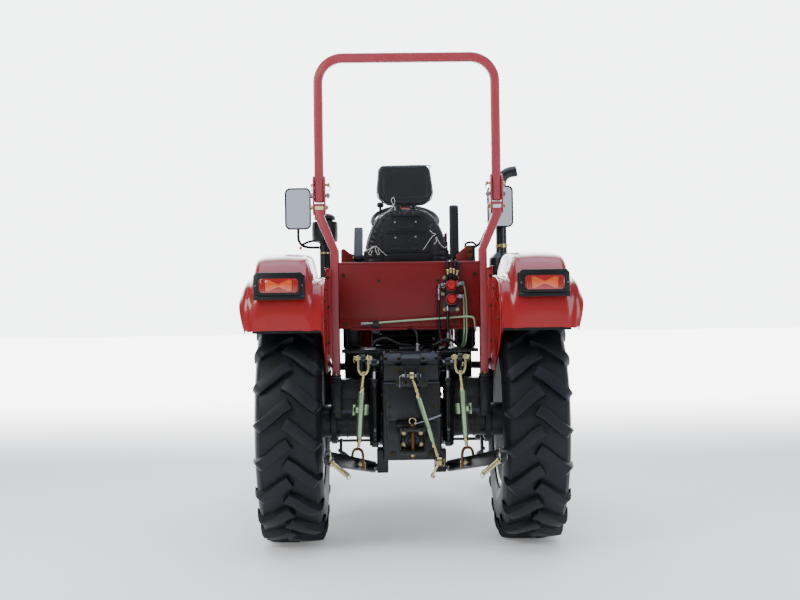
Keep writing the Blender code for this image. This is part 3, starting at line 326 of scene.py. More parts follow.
def tube(path, radius, n=14):
    """A round bar or hose along a line; radius is one number or one for each point."""
    bm = bmesh.new()
    pts = [Vector((p[0], p[1] + SY, p[2])) for p in path]
    keep = [i for i in range(len(pts)) if i == 0 or (pts[i] - pts[i - 1]).length > 1e-5]
    radii = [radius[i] for i in keep] if isinstance(radius, (list, tuple)) else [radius] * len(keep)
    pts = [pts[i] for i in keep]
    steps = [(b - a).normalized() for a, b in zip(pts, pts[1:])]
    side = steps[0].orthogonal().normalized()
    rows = []
    for i, p in enumerate(pts):
        before, after = steps[max(i - 1, 0)], steps[min(i, len(steps) - 1)]
        side = before.rotation_difference(after) @ side
        mitre = (before + after).normalized()
        up = after.cross(side).normalized()
        row = []
        for k in range(n):
            o = radii[i] * (cos(tau * k / n) * side + sin(tau * k / n) * up)
            row.append(bm.verts.new(p + o - after * (o.dot(mitre) / after.dot(mitre))))
        rows.append(row)
    bm.faces.new(rows[0])
    bm.faces.new(rows[-1])
    for a, b in zip(rows, rows[1:]):
        for i in range(n):
            bm.faces.new((a[i], a[(i + 1) % n], b[(i + 1) % n], b[i]))
    return outward(bm)


def between(a, b, radius, n=20, r=0.0):
    """A round bar from a to b."""
    return soft(tube([a, b], radius, n), r)


def aim(p, direction, spin=0.0):
    """A matrix that puts local +Z along a direction at p."""
    turn = Vector(direction).to_track_quat("Z", "Y").to_matrix().to_4x4()
    return Matrix.Translation((p[0], p[1] + SY, p[2])) @ turn @ Matrix.Rotation(spin, 4, "Z")


def nut(p, direction, r=0.009, h=0.007, washer=True, stud=0.0):
    """A hexagon head or nut standing on p; r is half its width across corners."""
    bm = bmesh.new()
    bmesh.ops.create_cone(bm, cap_ends=True, segments=6, radius1=r, radius2=r, depth=h,
        matrix=Matrix.Translation((0, 0, h / 2 + 0.001)))
    soft(bm, 0.0008, 1)
    if washer:
        bmesh.ops.create_cone(bm, cap_ends=True, segments=18, radius1=r * 1.25, radius2=r * 1.22,
            depth=0.002, matrix=Matrix.Translation((0, 0, 0.0005)))
    if stud:
        bmesh.ops.create_cone(bm, cap_ends=True, segments=12, radius1=r * 0.55, radius2=r * 0.5,
            depth=h + stud, matrix=Matrix.Translation((0, 0, (h + stud) / 2)))
    bmesh.ops.transform(bm, matrix=aim(p, direction, random.random()), verts=bm.verts)
    return bm


def moved(bm, matrix):
    """The shape after a matrix."""
    bmesh.ops.transform(bm, matrix=matrix, verts=bm.verts)
    return bm


def flip(bm, side):
    """The same shape on the left when side is -1."""
    if side < 0:
        for v in bm.verts:
            v.co.x = -v.co.x
        bmesh.ops.reverse_faces(bm, faces=bm.faces)
    return bm


def piece(name, body, parts, stands_for=(), angle=32, side=1):
    """One object made of (material, shape) pairs, riding on a CAD body."""
    mesh = bpy.data.meshes.new(name)
    whole = bmesh.new()
    paints = []
    for paint, shapes in parts:
        for shape in shapes if isinstance(shapes, (list, tuple)) else [shapes]:
            if paint not in paints:
                paints.append(paint)
            flip(shape, side)
            for face in shape.faces:
                face.material_index = paints.index(paint)
                face.smooth = True
            shape.to_mesh(mesh)
            whole.from_mesh(mesh)
            shape.free()
    whole.to_mesh(mesh)
    whole.free()
    mesh.set_sharp_from_angle(angle=radians(angle))
    made = bpy.data.objects.new(name, mesh)
    bpy.context.scene.collection.objects.link(made)
    for paint in paints:
        mesh.materials.append(paint)
    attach(made, body)
    if stands_for:
        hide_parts(*stands_for)
    return made


BOTH = ((-1, "L", "left"), (1, "R", "right"))

# ---- wheels ------------------------------------------------------------------------------
REAR_WIDE = 0.345       # the rear tyre's section and tread depth, which the bars were drawn for
REAR_TREAD = 0.034
TREAD_R = 0.64
BAR_END = 0.176         # no bar reaches past this half width


def lug_bar(stations, half_top, half_base):
    """A tread bar through stations of (x, angle, top radius, base radius)."""
    bm = bmesh.new()
    rows = []
    for i, (x, a, top, base) in enumerate(stations):
        before, after = stations[max(i - 1, 0)], stations[min(i + 1, len(stations) - 1)]
        dx = (after[0] - before[0]) + 1e-6
        ds = (after[1] - before[1]) * TREAD_R
        length = hypot(dx, ds)
        nx, ns = -ds / length, dx / length
        t = i / (len(stations) - 1)
        row = []
        for k, r in ((-1, base), (-1, top), (1, top), (1, base)):
            w = (half_base if r == base else half_top) * (1.15 - 0.15 * t) * k
            px, pa = x + nx * w, a + ns * w / TREAD_R
            px = min(px, BAR_END)
            row.append(bm.verts.new((px, r * cos(pa), r * sin(pa))))
        rows.append(row)
    bm.faces.new(rows[0])
    bm.faces.new(rows[-1])
    for a, b in zip(rows, rows[1:]):
        for k in range(4):
            bm.faces.new((a[k], a[(k + 1) % 4], b[(k + 1) % 4], b[k]))
    outward(bm)
    edges = [e for e in bm.edges if len(e.link_faces) == 2 and e.calc_face_angle(0) > 0.6
        and all(hypot(v.co.y, v.co.z) > stations[0][3] + 0.012 for v in e.verts)]
    bmesh.ops.bevel(bm, geom=edges, offset=0.0025, segments=2, profile=0.5, affect="EDGES",
        clamp_overlap=True)
    return bm


def tyre(c, R, w, seat, height, count, sweep, k, lag):
    """Carcass and chevron bars of a farm tyre; k scales the bar, lag staggers the halves."""
    crown = R - height
    h = R - seat
    half = w / 2
    side = [
        (half * 0.8, seat + 0.002), (half * 0.83, seat + 0.02), (half * 0.9, seat + 0.1 * h),
        (half * 0.985, seat + 0.26 * h),
        (half, seat + 0.4 * h), (half * 0.992, seat + 0.52 * h), (half * 0.965, seat + 0.64 * h),
        (half * 0.955, seat + 0.655 * h),
        (half * 0.93, seat + 0.73 * h), (half * 0.88, crown - 0.022), (half * 0.8, crown - 0.01),
        (half * 0.5, crown - 0.002), (half * 0.2, crown),
    ]
    profile = side + [(-x, r) for x, r in reversed(side)] + [(-half * 0.6, seat + 0.03),
        (half * 0.6, seat + 0.03)]
    carcass = lathe(profile, c, 120, True)
    shapes = [carcass]
    for s in (-1, 1):
        for i in range(count):
            a0 = tau * (i + (0.5 if s > 0 else 0.0) + lag) / count
            st = []
            for x, turn, drop in ((-0.012, 0.0, 0.0), (0.03, 0.2, 0.0), (0.062, 0.42, 0.001),
                (0.092, 0.62, 0.003), (0.118, 0.79, 0.006), (0.14, 0.92, 0.011), (0.152, 0.98, 0.03),
                (0.16, 1.02, 0.066)):
                st.append((x * k * (w / REAR_WIDE), a0 + 0.86 * sweep * turn, R - drop * height / REAR_TREAD,
                    crown - 0.02 - drop * 0.9))
            bar = lug_bar(st, 0.0255 * k, 0.0315 * k)
            if s < 0:
                for v in bar.verts:
                    v.co.x = -v.co.x
                bmesh.ops.reverse_faces(bar, faces=bar.faces)
            moved(bar, Matrix.Translation((c[0], c[1] + SY, c[2])))
            shapes.append(bar)
    return shapes


def rim(c, out, seat, half, inner, dish, cap, hub, bolts, pcd):
    """A steel wheel; out is +1 when the outside faces +X."""
    def p(points):
        return [(out * x, r) for x, r in points]

    shell = lathe(
        p([
            (-half - 0.006, seat + 0.024), (-half - 0.013, seat + 0.022), (-half - 0.013, seat + 0.012),
            (-half - 0.006, seat - 0.004),
            (-half + 0.03, seat - 0.008), (-half + 0.055, seat - 0.032), (half - 0.055, seat - 0.032),
            (half - 0.03, seat - 0.008),
            (half + 0.006, seat - 0.004), (half + 0.013, seat + 0.012), (half + 0.013, seat + 0.022),
            (half + 0.006, seat + 0.024),
            (half + 0.001, seat + 0.014), (half - 0.002, seat), (half - 0.034, seat - 0.002),
            (half - 0.058, seat - 0.026), (-half + 0.058, seat - 0.026),
            (-half + 0.034, seat - 0.002), (-half + 0.002, seat), (-half - 0.001, seat + 0.014),
        ]), c, 72, True,
    )
    disc = lathe(
        p([
            (dish - 0.004, hub * 0.55), (dish - 0.004, pcd + 0.035), (dish - 0.03, pcd + 0.06),
            (dish - 0.026, seat - 0.075), (dish + 0.01, seat - 0.035),
            (dish + 0.03, seat - 0.031), (dish + 0.03, seat - 0.036), (dish + 0.014, seat - 0.042),
            (dish - 0.016, seat - 0.08),
            (dish - 0.02, pcd + 0.062), (dish + 0.006, pcd + 0.038), (dish + 0.006, hub * 0.55),
        ]), c, 72, True,
    )
    drum = lathe(p([(inner, 0), (inner, hub), (inner + 0.02, hub + 0.004), (dish - 0.02, hub + 0.004),
        (dish - 0.003, hub + 0.02), (dish - 0.003, 0)]), c, 48)
    knob = lathe(p([(dish, hub * 0.62), (dish + 0.008, hub * 0.62), (cap - 0.012, hub * 0.52),
        (cap, hub * 0.4), (cap, 0)]), c, 40)
    nuts = []
    for i in range(bolts):
        a = tau * (i + 0.5) / bolts
        nuts.append(nut((c[0] + out * (dish + 0.006), c[1] + pcd * cos(a), c[2] + pcd * sin(a)),
            (out, 0, 0), 0.014, 0.014, True, 0.008))
    return [(SILVER, [shell, disc]), (CASE, [drum, knob]), (ZINC, nuts)]


for s, L, word in BOTH:
    c = (s * abs(centre("rear_tyre_L").x), 0.0, ZA)
    piece(f"tyre_rear_{L}", f"rear_wheel_{word}", [
        (RUBBER, tyre(c, 0.65, REAR_WIDE, 0.35, REAR_TREAD, 20, 0.235, 1.0, 0.31 if s < 0 else 0.06))],
        [f"rear_tyre_{L}"], 30)
    rear_in = abs(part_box("transmission_case")[1].x) + 0.0006 - abs(c[0])
    piece(f"rim_rear_{L}", f"rear_wheel_{word}", rim(c, s, 0.35, 0.135, rear_in, -0.04, 0.035, 0.085, 8,
        0.15), [f"rear_rim_{L}"])
    c = (s * abs(centre("front_tyre_L").x), YF, ZF)
    piece(f"tyre_front_{L}", f"front_wheel_{word}",
        [(RUBBER, tyre(c, 0.46, 0.22, 0.248, 0.026, 18, 0.235, 0.74, 0.2))], [f"front_tyre_{L}"],
        30)
    piece(f"rim_front_{L}", f"front_wheel_{word}", rim(c, s, 0.248, 0.08, -0.0442, 0.038, 0.085, 0.062, 6,
        0.092), [f"front_rim_{L}"])

# ---- fenders -----------------------------------------------------------------------------
def spread(points, n):
    """n points along a smooth line through the given ones."""
    fine = curve_points([Vector((*p, 0)) for p in points], 10)
    run = [0.0]
    for a, b in zip(fine, fine[1:]):
        run.append(run[-1] + (b - a).length)
    out = []
    j = 0
    for i in range(n):
        want = run[-1] * i / (n - 1)
        while j < len(run) - 2 and run[j + 1] < want:
            j += 1
        t = (want - run[j]) / max(run[j + 1] - run[j], 1e-9)
        p = fine[j].lerp(fine[j + 1], min(max(t, 0), 1))
        out.append((p.x, p.y))
    return out


def shell(rows, thickness, centre_yz, r=0.0):
    """A moulded sheet through rows of points, thickened towards a (y, z) centre."""
    bm = bmesh.new()
    normals, facing = [], 0.0
    for i, row in enumerate(rows):
        line = []
        for j, point in enumerate(row):
            along = rows[min(i + 1, len(rows) - 1)][j] - rows[max(i - 1, 0)][j]
            across = row[min(j + 1, len(row) - 1)] - row[max(j - 1, 0)]
            n = along.cross(across).normalized()
            facing += n.dot(Vector((0, centre_yz[0] - point.y, centre_yz[1] - point.z)))
            line.append(n)
        normals.append(line)
    inwards = thickness if facing > 0 else -thickness
    inside = [[p + n * inwards for p, n in zip(row, line)] for row, line in zip(rows, normals)]
    shift = Vector((0, SY, 0))
    outer = [[bm.verts.new(p + shift) for p in row] for row in rows]
    inner = [[bm.verts.new(p + shift) for p in row] for row in inside]
    last, end = len(rows) - 1, len(rows[0]) - 1
    for i in range(last):
        for j in range(end):
            for g in (outer, inner):
                bm.faces.new((g[i][j], g[i][j + 1], g[i + 1][j + 1], g[i + 1][j]))
        for j in (0, end):
            bm.faces.new((outer[i][j], outer[i + 1][j], inner[i + 1][j], inner[i][j]))
    for j in range(end):
        for i in (0, last):
            bm.faces.new((outer[i][j], outer[i][j + 1], inner[i][j + 1], inner[i][j]))
    return outward(bm)


def rounded_section(points, r, n=3):
    """The same (x, y, z) line with its corners rounded by r."""
    out = [Vector(points[0])]
    for a, b, c in zip(points, points[1:], points[2:]):
        a, b, c = Vector(a), Vector(b), Vector(c)
        u, v = a - b, c - b
        d = min(r, u.length * 0.48, v.length * 0.48)
        p, q = b + u.normalized() * d, b + v.normalized() * d
        out += [p * (1 - t) ** 2 + 2 * b * t * (1 - t) + q * t * t for t in [i / n for i in range(n + 1)]]
    return out + [Vector(points[-1])]


TOP_LINE = [(-0.614, 1.15), (-0.616, 1.225), (-0.612, 1.3), (-0.594, 1.375), (-0.56, 1.438), (-0.45, 1.514),
    (-0.2, 1.546), (0.12, 1.545), (0.38, 1.468), (0.56, 1.299), (0.675, 1.08), (0.722, 0.9),
    (0.725, 0.8196)]
MID_LINE = [(-0.611, 1.148), (-0.609, 1.215), (-0.6, 1.285), (-0.575, 1.34), (-0.535, 1.378),
    (-0.42, 1.412), (-0.19, 1.428), (0.105, 1.425), (0.33, 1.355), (0.5, 1.21), (0.615, 1.03),
    (0.688, 0.895), (0.69, 0.8196)]
LOW_LINE = [(-0.598, 1.152), (-0.594, 1.205), (-0.582, 1.255), (-0.555, 1.285), (-0.51, 1.302),
    (-0.4, 1.322), (-0.18, 1.33), (0.095, 1.325), (0.3, 1.265), (0.46, 1.14), (0.57, 0.99), (0.648, 0.885),
    (0.66, 0.8196)]


def fender(side):
    """One rear fender's moulded shell; side is not used."""
    n = 72
    rows = []
    for i, ((by, bz), (sy, sz), (ly, lz)) in enumerate(
        zip(spread(TOP_LINE, n), spread(MID_LINE, n), spread(LOW_LINE, n))):
        crown = 0.01 * min(1.0, i / 12)
        b, s = Vector((0, by, bz)), Vector((0, sy, sz))
        up = (b - Vector((0, 0.02, ZA))).normalized()
        line = [
            (0.452, sy, sz - 0.03), (0.449, sy, sz - 0.004), (0.47, sy, sz + 0.003),
            (0.497, sy, sz + 0.001), (0.524, by, bz - 0.004), (0.56, *(b + up * crown * 0.5).yz),
            (0.655, *(b + up * crown).yz), (0.75, *(b + up * crown * 0.5).yz), (0.785, by, bz - 0.004),
            (0.812, sy, sz), (0.84, sy, sz - 0.006),
            (0.866, *(s.lerp(Vector((0, ly, lz)), 0.75)).yz), (0.874, ly, lz - 0.002),
            (0.872, ly + 0.004, lz - 0.016),
        ]
        tail = 0.034 * max(0.0, 1 - i / 9) ** 2
        line = [(x - tail * max(0.0, (x - 0.76) / 0.114), y, z) for x, y, z in line]
        rows.append(rounded_section(line, 0.02))
    return shell(rows, 0.006, (0.0, ZA))


for s, L, word in BOTH:
    wall = [(y + 0.004, z - 0.004) for y, z in spread(MID_LINE, 34)]
    flank = prism("X", wall + [(0.42, ZA + 0.175), (0.2, ZA + 0.27), (-0.22, ZA + 0.27), (-0.48, ZA + 0.4)],
        0.441, 0.451, 0.003)
    bolts = [nut((0.4415, y, z), (-1, 0, 0), 0.008, 0.005)
        for y, z in ((-0.5, 1.3), (-0.55, 1.2), (-0.3, 1.36), (0.12, 1.37), (0.36, 1.22), (0.52, 1.02))]
    liner = shell([[Vector((x, y + 0.01, z - 0.012)) for x in (0.455, 0.55, 0.65, 0.75, 0.8)]
        for y, z in spread(MID_LINE, 30)], 0.004, (0.0, ZA))
    piece(f"fender_moulding_{L}", "chassis", [(RED, [fender(s), flank]), (BLACK, [liner]), (STUD, bolts)],
        [f"fender_{L}"], 35, s)

    # lamp in its black housing, with a lens of eight corners
    low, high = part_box(f"tail_lamp_{L}")
    back = low.y - SY
    mid_x = 0.66
    shape = [(-0.127, 0.006), (-0.12, 0.0), (0.12, 0.0), (0.127, 0.006), (0.127, 0.118), (0.112, 0.134),
        (-0.112, 0.134), (-0.127, 0.118)]
    body = prism("Y", [(mid_x + x, low.z + z) for x, z in shape], back + 0.02, high.y - SY - 0.004, 0.006)
    for v in body.verts:
        if v.co.y > back + SY + 0.03:
            v.co.y += (v.co.z - low.z) * 0.2
    hood_lip = prism("Y", [(mid_x + x, low.z + z) for x, z in shape], back + 0.004, back + 0.03, 0.004)
    mouth = rounded(0.205, 0.084, 0.01, (mid_x, low.z + 0.068))
    rim_out = prism("Y", rounded(0.222, 0.098, 0.014, (mid_x, low.z + 0.068)), back - 0.003, back + 0.012,
        0.003)
    foot = prism("X", [(back - 0.006, low.z - 0.003), (back + 0.03, low.z - 0.003),
        (back + 0.03, low.z + 0.02), (back + 0.004, low.z + 0.022), (back - 0.006, low.z + 0.01)],
        mid_x - 0.128, mid_x + 0.128, 0.003)
    eight = [(-0.098, -0.022), (-0.086, -0.036), (0.086, -0.036), (0.098, -0.022), (0.098, 0.022),
        (0.086, 0.036), (-0.086, 0.036), (-0.098, 0.022)]
    lens = prism("Y", [(mid_x + x, low.z + 0.068 + z) for x, z in eight], back - 0.01, back + 0.01, 0.004)
    bow = [(-0.066, -0.026), (-0.05, -0.029), (0.0, -0.006), (0.05, -0.029), (0.066, -0.026),
        (0.066, 0.026), (0.05, 0.029), (0.0, 0.006), (-0.05, 0.029), (-0.066, 0.026)]
    flute = prism("Y", [(mid_x + x, low.z + 0.068 + z) for x, z in bow], back - 0.0125, back - 0.004, 0.001)
    ribs = [box((mid_x - 0.092 + 0.0115 * i - 0.0022, mid_x - 0.092 + 0.0115 * i + 0.0022),
        (back - 0.0118, back - 0.006), (low.z + 0.038, low.z + 0.098), 0.0008, 1)
        for i in range(17) if abs(i - 8) > 5]
    screws = [nut((mid_x + x, back - 0.004, low.z + z), (0, -1, 0), 0.0045, 0.002, False)
        for x, z in ((-0.116, 0.068), (0.116, 0.068))]
    lead = tube(curve_points([(0.55, back + 0.06, low.z + 0.03), (0.5, back + 0.1, low.z + 0.01),
        (0.462, back + 0.16, low.z + 0.02), (0.456, back + 0.3, low.z + 0.05)], 6), 0.004, 8)
    piece(f"tail_lamp_unit_{L}", "chassis", [(PLASTIC, [body, hood_lip, rim_out, foot, lead]),
        (RED_LENS, [lens] + ribs), (AMBER, [flute]), (STEEL, screws)], [f"tail_lamp_{L}"], 32,
        s)

# ---- roll bar ----------------------------------------------------------------------------
RY = -0.075     # the bar's middle, just ahead of the rear axle


def bar_line(half, top, radius, low, n=12):
    """The outline of an upside-down U with round shoulders."""
    pts = [(-half, low)]
    for cx, first in ((-half + radius, 180), (half - radius, 90)):
        for i in range(n + 1):
            a = radians(first - 90 * i / n)
            pts.append((cx + radius * cos(a), top - radius + radius * sin(a)))
    return pts + [(half, low)]


hoop = prism("Y", bar_line(0.506, 2.648, 0.16, 1.838) + bar_line(0.456, 2.598, 0.11, 1.838)[::-1],
    RY - 0.025, RY + 0.025, 0.009, 3)
hinge = [rod("X", (RY, 1.877), 0.0095, *span(s, 0.436, 0.47), 20, 0.001) for s in (-1, 1)]
pins = []
bolts = []
for s in (-1, 1):
    bolts += [nut((s * 0.4385, RY, 1.877), (-s, 0, 0), 0.016, 0.01, True, 0.006),
        nut((s * 0.5165, RY, 1.877), (s, 0, 0), 0.016, 0.01, True, 0.004)]
piece("roll_bar_hoop", "roll_bar", [(RED_BAR, [hoop]), (STEEL, hinge + bolts)], ["rops_hoop"])

for s, L, word in BOTH:
    leg = [(0.378, 0.897), (0.424, 0.897), (0.424, 1.574), (0.508, 1.763), (0.508, 1.829), (0.454, 1.829),
        (0.454, 1.763), (0.378, 1.574)]
    post = prism("Y", leg, RY - 0.03, RY + 0.03, 0.007, 3)
    plates = [prism("X", capsule((RY, 1.805), (RY, 1.947), 0.036, 0.036, 10), a, b, 0.002)
        for a, b in ((0.507, 0.516), (0.446, 0.4555))]
    foot = box((0.376, 0.428), (RY - 0.044, RY + 0.095), (0.8855, 0.901), 0.003)
    web = prism("X", [(RY + 0.028, 0.9), (RY + 0.09, 0.9), (RY + 0.028, 1.02)], 0.396, 0.406, 0.002)
    latch = [rod("X", (RY + 0.004, 1.935), 0.008, 0.432, 0.528, 16, 0.001),
        rod("X", (RY + 0.004, 1.935), 0.012, 0.424, 0.434, 18, 0.002)]
    ring_pin = tube([(0.522, RY + 0.004 + 0.014 * sin(a * tau / 14),
        1.926 - 0.014 + 0.014 * cos(a * tau / 14)) for a in range(14)], 0.0018, 8)
    clip = tube(curve_points([(0.428, RY - 0.004, 1.934), (0.42, RY - 0.012, 1.925),
        (0.424, RY - 0.012, 1.905), (0.436, RY - 0.01, 1.9)], 5), 0.0022, 8)
    bolts = [nut((0.4, RY + y, 0.9015), (0, 0, 1), 0.012, 0.01, True, 0.006)
        for y in (-0.036, 0.052, 0.082)]
    bolts += [nut((0.4455, RY + 0.0, 1.812), (-1, 0, 0), 0.013, 0.009, True, 0.005),
        nut((0.5165, RY, 1.812), (1, 0, 0), 0.013, 0.009, True, 0.004)]
    band = box((0.458, 0.504), (RY - 0.0325, RY - 0.0305), (1.797, 1.817), 0.0006, 1)
    stop = box((0.452, 0.51), (RY - 0.034, RY - 0.028), (1.822, 1.831), 0.002)
    label = PALE if s > 0 else BAND
    piece(f"roll_bar_post_{L}", "chassis", [(RED_BAR, [post, web, stop] + plates), (BLACK, [foot]),
        (ZINC, latch + [ring_pin, clip] + bolts), (label, [band])], [f"rops_post_{L}"], 32, s)

# ---- rear panel, between the posts -------------------------------------------------------
top = 1.507
face = prism("X", [(-0.112, 1.151), (-0.112, top - 0.01), (-0.104, top), (-0.03, top), (-0.03, top - 0.03),
    (-0.036, top - 0.03), (-0.036, top - 0.008), (-0.102, top - 0.008), (-0.106, top - 0.012),
    (-0.106, 1.157), (-0.07, 1.157), (-0.07, 1.151)], -0.3775, 0.3775, 0.0015)
lip = rod("X", (-0.106, top - 0.004), 0.0085, -0.3775, 0.3775, 20)
low_strip = box((-0.372, 0.372), (-0.1165, -0.11), (1.151, 1.208), 0.002)
strip_b = box((-0.035, 0.062), (-0.121, -0.116), (1.158, 1.204), 0.002)
tray = prism("X", [(-0.112, 1.151), (-0.14, 1.143), (-0.142, 1.15), (-0.116, 1.16)], -0.32, 0.32, 0.001)
bolts = [nut((x, -0.1165, z), (0, -1, 0), 0.008, 0.006)
    for x, z in ((-0.345, 1.18), (0.345, 1.18), (-0.2, 1.183), (0.24, 1.183))]
bolts += [nut((x, -0.112, z), (0, -1, 0), 0.008, 0.006) for x, z in ((-0.355, 1.44), (0.355, 1.44))]
hole = [rod("Y", (0.155, 1.408), 0.008, -0.1135, -0.11, 18),
    rod("Y", (-0.165, 1.408), 0.008, -0.1135, -0.11, 18)]
ribs = [box((x - 0.0035, x + 0.0035), (-0.111, -0.107), (1.22, 1.48), 0.001) for x in ()]
# steel pipe across the foot of the panel, with its clamp and bracket
pipe = tube(bends([(-0.245, -0.125, 1.178), (0.3, -0.155, 1.21), (0.345, -0.155, 1.207),
    (0.352, -0.155, 1.13)], 0.02), 0.0062, 14)
sleeve = tube([(-0.262, -0.124, 1.177), (-0.225, -0.126, 1.179)], 0.0095, 16)
clamp = box((-0.2, -0.168), (-0.15, -0.112), (1.166, 1.196), 0.003)
bracket = prism("Y", [(-0.205, 1.168), (-0.16, 1.168), (-0.165, 1.125), (-0.2, 1.125)], -0.13, -0.122,
    0.002)
inner_box = [box((-0.37, 0.37), (-0.1, -0.095), (1.16, 1.49), 0.0),
    box((-0.34, -0.336), (-0.1, 0.42), (1.02, 1.3), 0.001),
    box((0.336, 0.34), (-0.1, 0.42), (1.02, 1.3), 0.001)]
piece(
    "rear_panel_pressing", "chassis",
    [(RED_STEEL, [face, lip, low_strip, strip_b, tray] + ribs), (PLASTIC, hole + inner_box),
    (BLACK, [clamp, bracket]), (GREENZINC, [pipe]), (STEEL, [sleeve]), (STUD, bolts)],
    ["rear_panel"],
)

# side panels that close the gap between post and fender
for s, L, word in BOTH:
    sheet_line = [(0.426, 1.472), (0.446, 1.478), (0.45, 1.47), (0.447, 1.36), (0.452, 1.2), (0.447, 1.1),
        (0.44, 1.02), (0.424, 0.98), (0.426, 1.1)]
    side_sheet = prism("Y", sheet_line, -0.128, -0.122, 0.0015)
    top_cap = prism("Y", [(0.42, 1.474), (0.455, 1.484), (0.455, 1.476), (0.424, 1.466)], -0.135, 0.05,
        0.002)
    fold = box((0.42, 0.426), (-0.128, 0.02), (0.98, 1.47), 0.001)
    bolts = [nut((0.437, -0.128, z), (0, -1, 0), 0.0065, 0.005) for z in (1.43, 1.27, 1.08)]
    piece(f"side_sheet_{L}", "chassis", [(RED, [side_sheet, top_cap, fold]), (STUD, bolts)], (),
        32, s)

# ---- remote couplers, hoses --------------------------------------------------------------
x0 = centre("coupler_block").x
solid = prism("X", [(-0.114, 1.262), (-0.114, 1.412), (-0.14, 1.412), (-0.156, 1.396), (-0.156, 1.276),
    (-0.144, 1.262)], 0.196, 0.252, 0.004)
plate = box((0.178, 0.27), (-0.1145, -0.112), (1.238, 1.432), 0.001)
shapes = {"black": [solid, plate], "steel": [], "red": [], "green": [], "hose": [], "zinc": []}
for z in (1.378, 1.303):
    shapes["black"].append(lathe([(-0.15, 0), (-0.15, 0.024), (-0.176, 0.024), (-0.18, 0.021), (-0.18, 0)],
        (0.224, 0, z), 28, axis="Y"))
    shapes["steel"].append(lathe([(-0.176, 0.0), (-0.176, 0.0205), (-0.1845, 0.0205), (-0.186, 0.018),
        (-0.186, 0.0)], (0.224, 0, z), 28, axis="Y"))
    shapes["red"].append(lathe([(-0.18, 0.0), (-0.18, 0.0225), (-0.194, 0.0225), (-0.198, 0.0195),
        (-0.198, 0.012), (-0.195, 0.01), (-0.195, 0.0)], (0.224, 0, z), 30, axis="Y"))
    shapes["red"].append(tube([(0.224 + 0.0275 * cos(a * tau / 20), -0.172, z + 0.0275 * sin(a * tau / 20))
        for a in range(19)], 0.0028, 8))
    shapes["red"].append(tube(curve_points([(0.244, -0.188, z + 0.008), (0.256, -0.19, z + 0.018),
        (0.258, -0.178, z + 0.026), (0.248, -0.172, z + 0.018)], 5), 0.0022, 8))
for x, z, r in ((0.182, 1.378, 0.0165), (0.262, 1.384, 0.0135), (0.18, 1.334, 0.0125),
    (0.264, 1.32, 0.0135)):
    shapes["zinc"].append(lathe([(-0.114, 0), (-0.114, r), (-0.126, r), (-0.129, r * 0.8), (-0.129, 0)],
        (x, 0, z), 22, axis="Y"))
    shapes["steel"].append(nut((x, -0.129, z), (0, -1, 0), r * 0.62, 0.006, False))
for x, z in ((0.19, 1.422), (0.258, 1.422), (0.19, 1.25), (0.258, 1.25)):
    shapes["zinc"].append(nut((x, -0.1145, z), (0, -1, 0), 0.0085, 0.006))
for z, drop in ((1.388, 0.0), (1.318, 0.0)):
    shapes["steel"] += [between((0.252, -0.136, z), (0.283, -0.136, z), 0.0085, 18, 0.001),
        nut((0.266, -0.136, z), (1, 0, 0), 0.0125, 0.012, False)]
    shapes["steel"].append(lathe([(-0.012, 0), (-0.012, 0.01), (0.012, 0.01), (0.012, 0)],
        (0.29, -0.136, z), 20, axis="Z"))
shapes["green"].append(tube(bends([(0.29, -0.136, 1.388), (0.296, -0.136, 1.37), (0.306, -0.14, 1.28),
    (0.306, -0.146, 1.13), (0.296, -0.12, 1.05), (0.24, -0.06, 1.035), (0.215, -0.02, 1.03)], 0.03), 0.0055,
    12))
shapes["green"].append(tube(bends([(0.29, -0.136, 1.318), (0.292, -0.136, 1.29), (0.292, -0.148, 1.14),
    (0.284, -0.115, 1.052), (0.235, -0.045, 1.03), (0.2, -0.01, 1.025)], 0.03), 0.0055, 12))
shapes["steel"] += [between((0.196, -0.138, 1.385), (0.166, -0.138, 1.378), 0.008, 16, 0.001),
    nut((0.186, -0.138, 1.383), (-1, 0, -0.2), 0.0125, 0.01, False)]
shapes["steel"] += [between((0.158, -0.14, 1.362), (0.158, -0.142, 1.3), 0.0085, 18, 0.002),
    lathe([(-0.01, 0), (-0.01, 0.011), (0.01, 0.011), (0.01, 0)], (0.161, -0.139, 1.374), 18, axis="Z")]
shapes["hose"].append(tube(curve_points([(0.158, -0.142, 1.312), (0.157, -0.146, 1.22),
    (0.158, -0.14, 1.12), (0.15, -0.11, 1.05), (0.12, -0.07, 1.03)], 10), 0.0078, 16))
shapes["hose"].append(tube(curve_points([(0.205, -0.15, 1.262), (0.203, -0.168, 1.2), (0.204, -0.165, 1.12),
    (0.2, -0.13, 1.05), (0.165, -0.09, 1.03)], 10), 0.0085, 16))
shapes["steel"] += [between((0.205, -0.15, 1.268), (0.2045, -0.16, 1.215), 0.0105, 18, 0.002),
    between((0.204, -0.166, 1.128), (0.202, -0.15, 1.08), 0.011, 18, 0.002)]
for i, (x, y, z) in enumerate(((0.205, -0.15, 1.505), (0.225, -0.156, 1.512), (0.245, -0.15, 1.508),
    (0.266, -0.14, 1.5))):
    line = curve_points([(x + 0.006, y + 0.1, z - 0.02), (x + 0.004, y + 0.03, z + 0.005),
        (x, y - 0.002, z - 0.012), (x + 0.002 - 0.004 * i, y - 0.004, z - 0.06),
        (x - 0.006, y + 0.004, z - 0.115)], 8)
    shapes["hose"].append(tube(line, 0.0065, 14))
    shapes["zinc"].append(between(line[-12], line[-8], 0.0085, 16, 0.001))
shapes["black"].append(box((0.196, 0.27), (-0.15, -0.112), (1.425, 1.47), 0.006))
piece(
    "remote_couplers", "chassis",
    [(BLACK, shapes["black"]), (STEEL, shapes["steel"]), (CAP_RED, shapes["red"]),
    (GREENZINC, shapes["green"]), (HOSE, shapes["hose"]), (ZINC, shapes["zinc"])],
    ["coupler_block"],
)

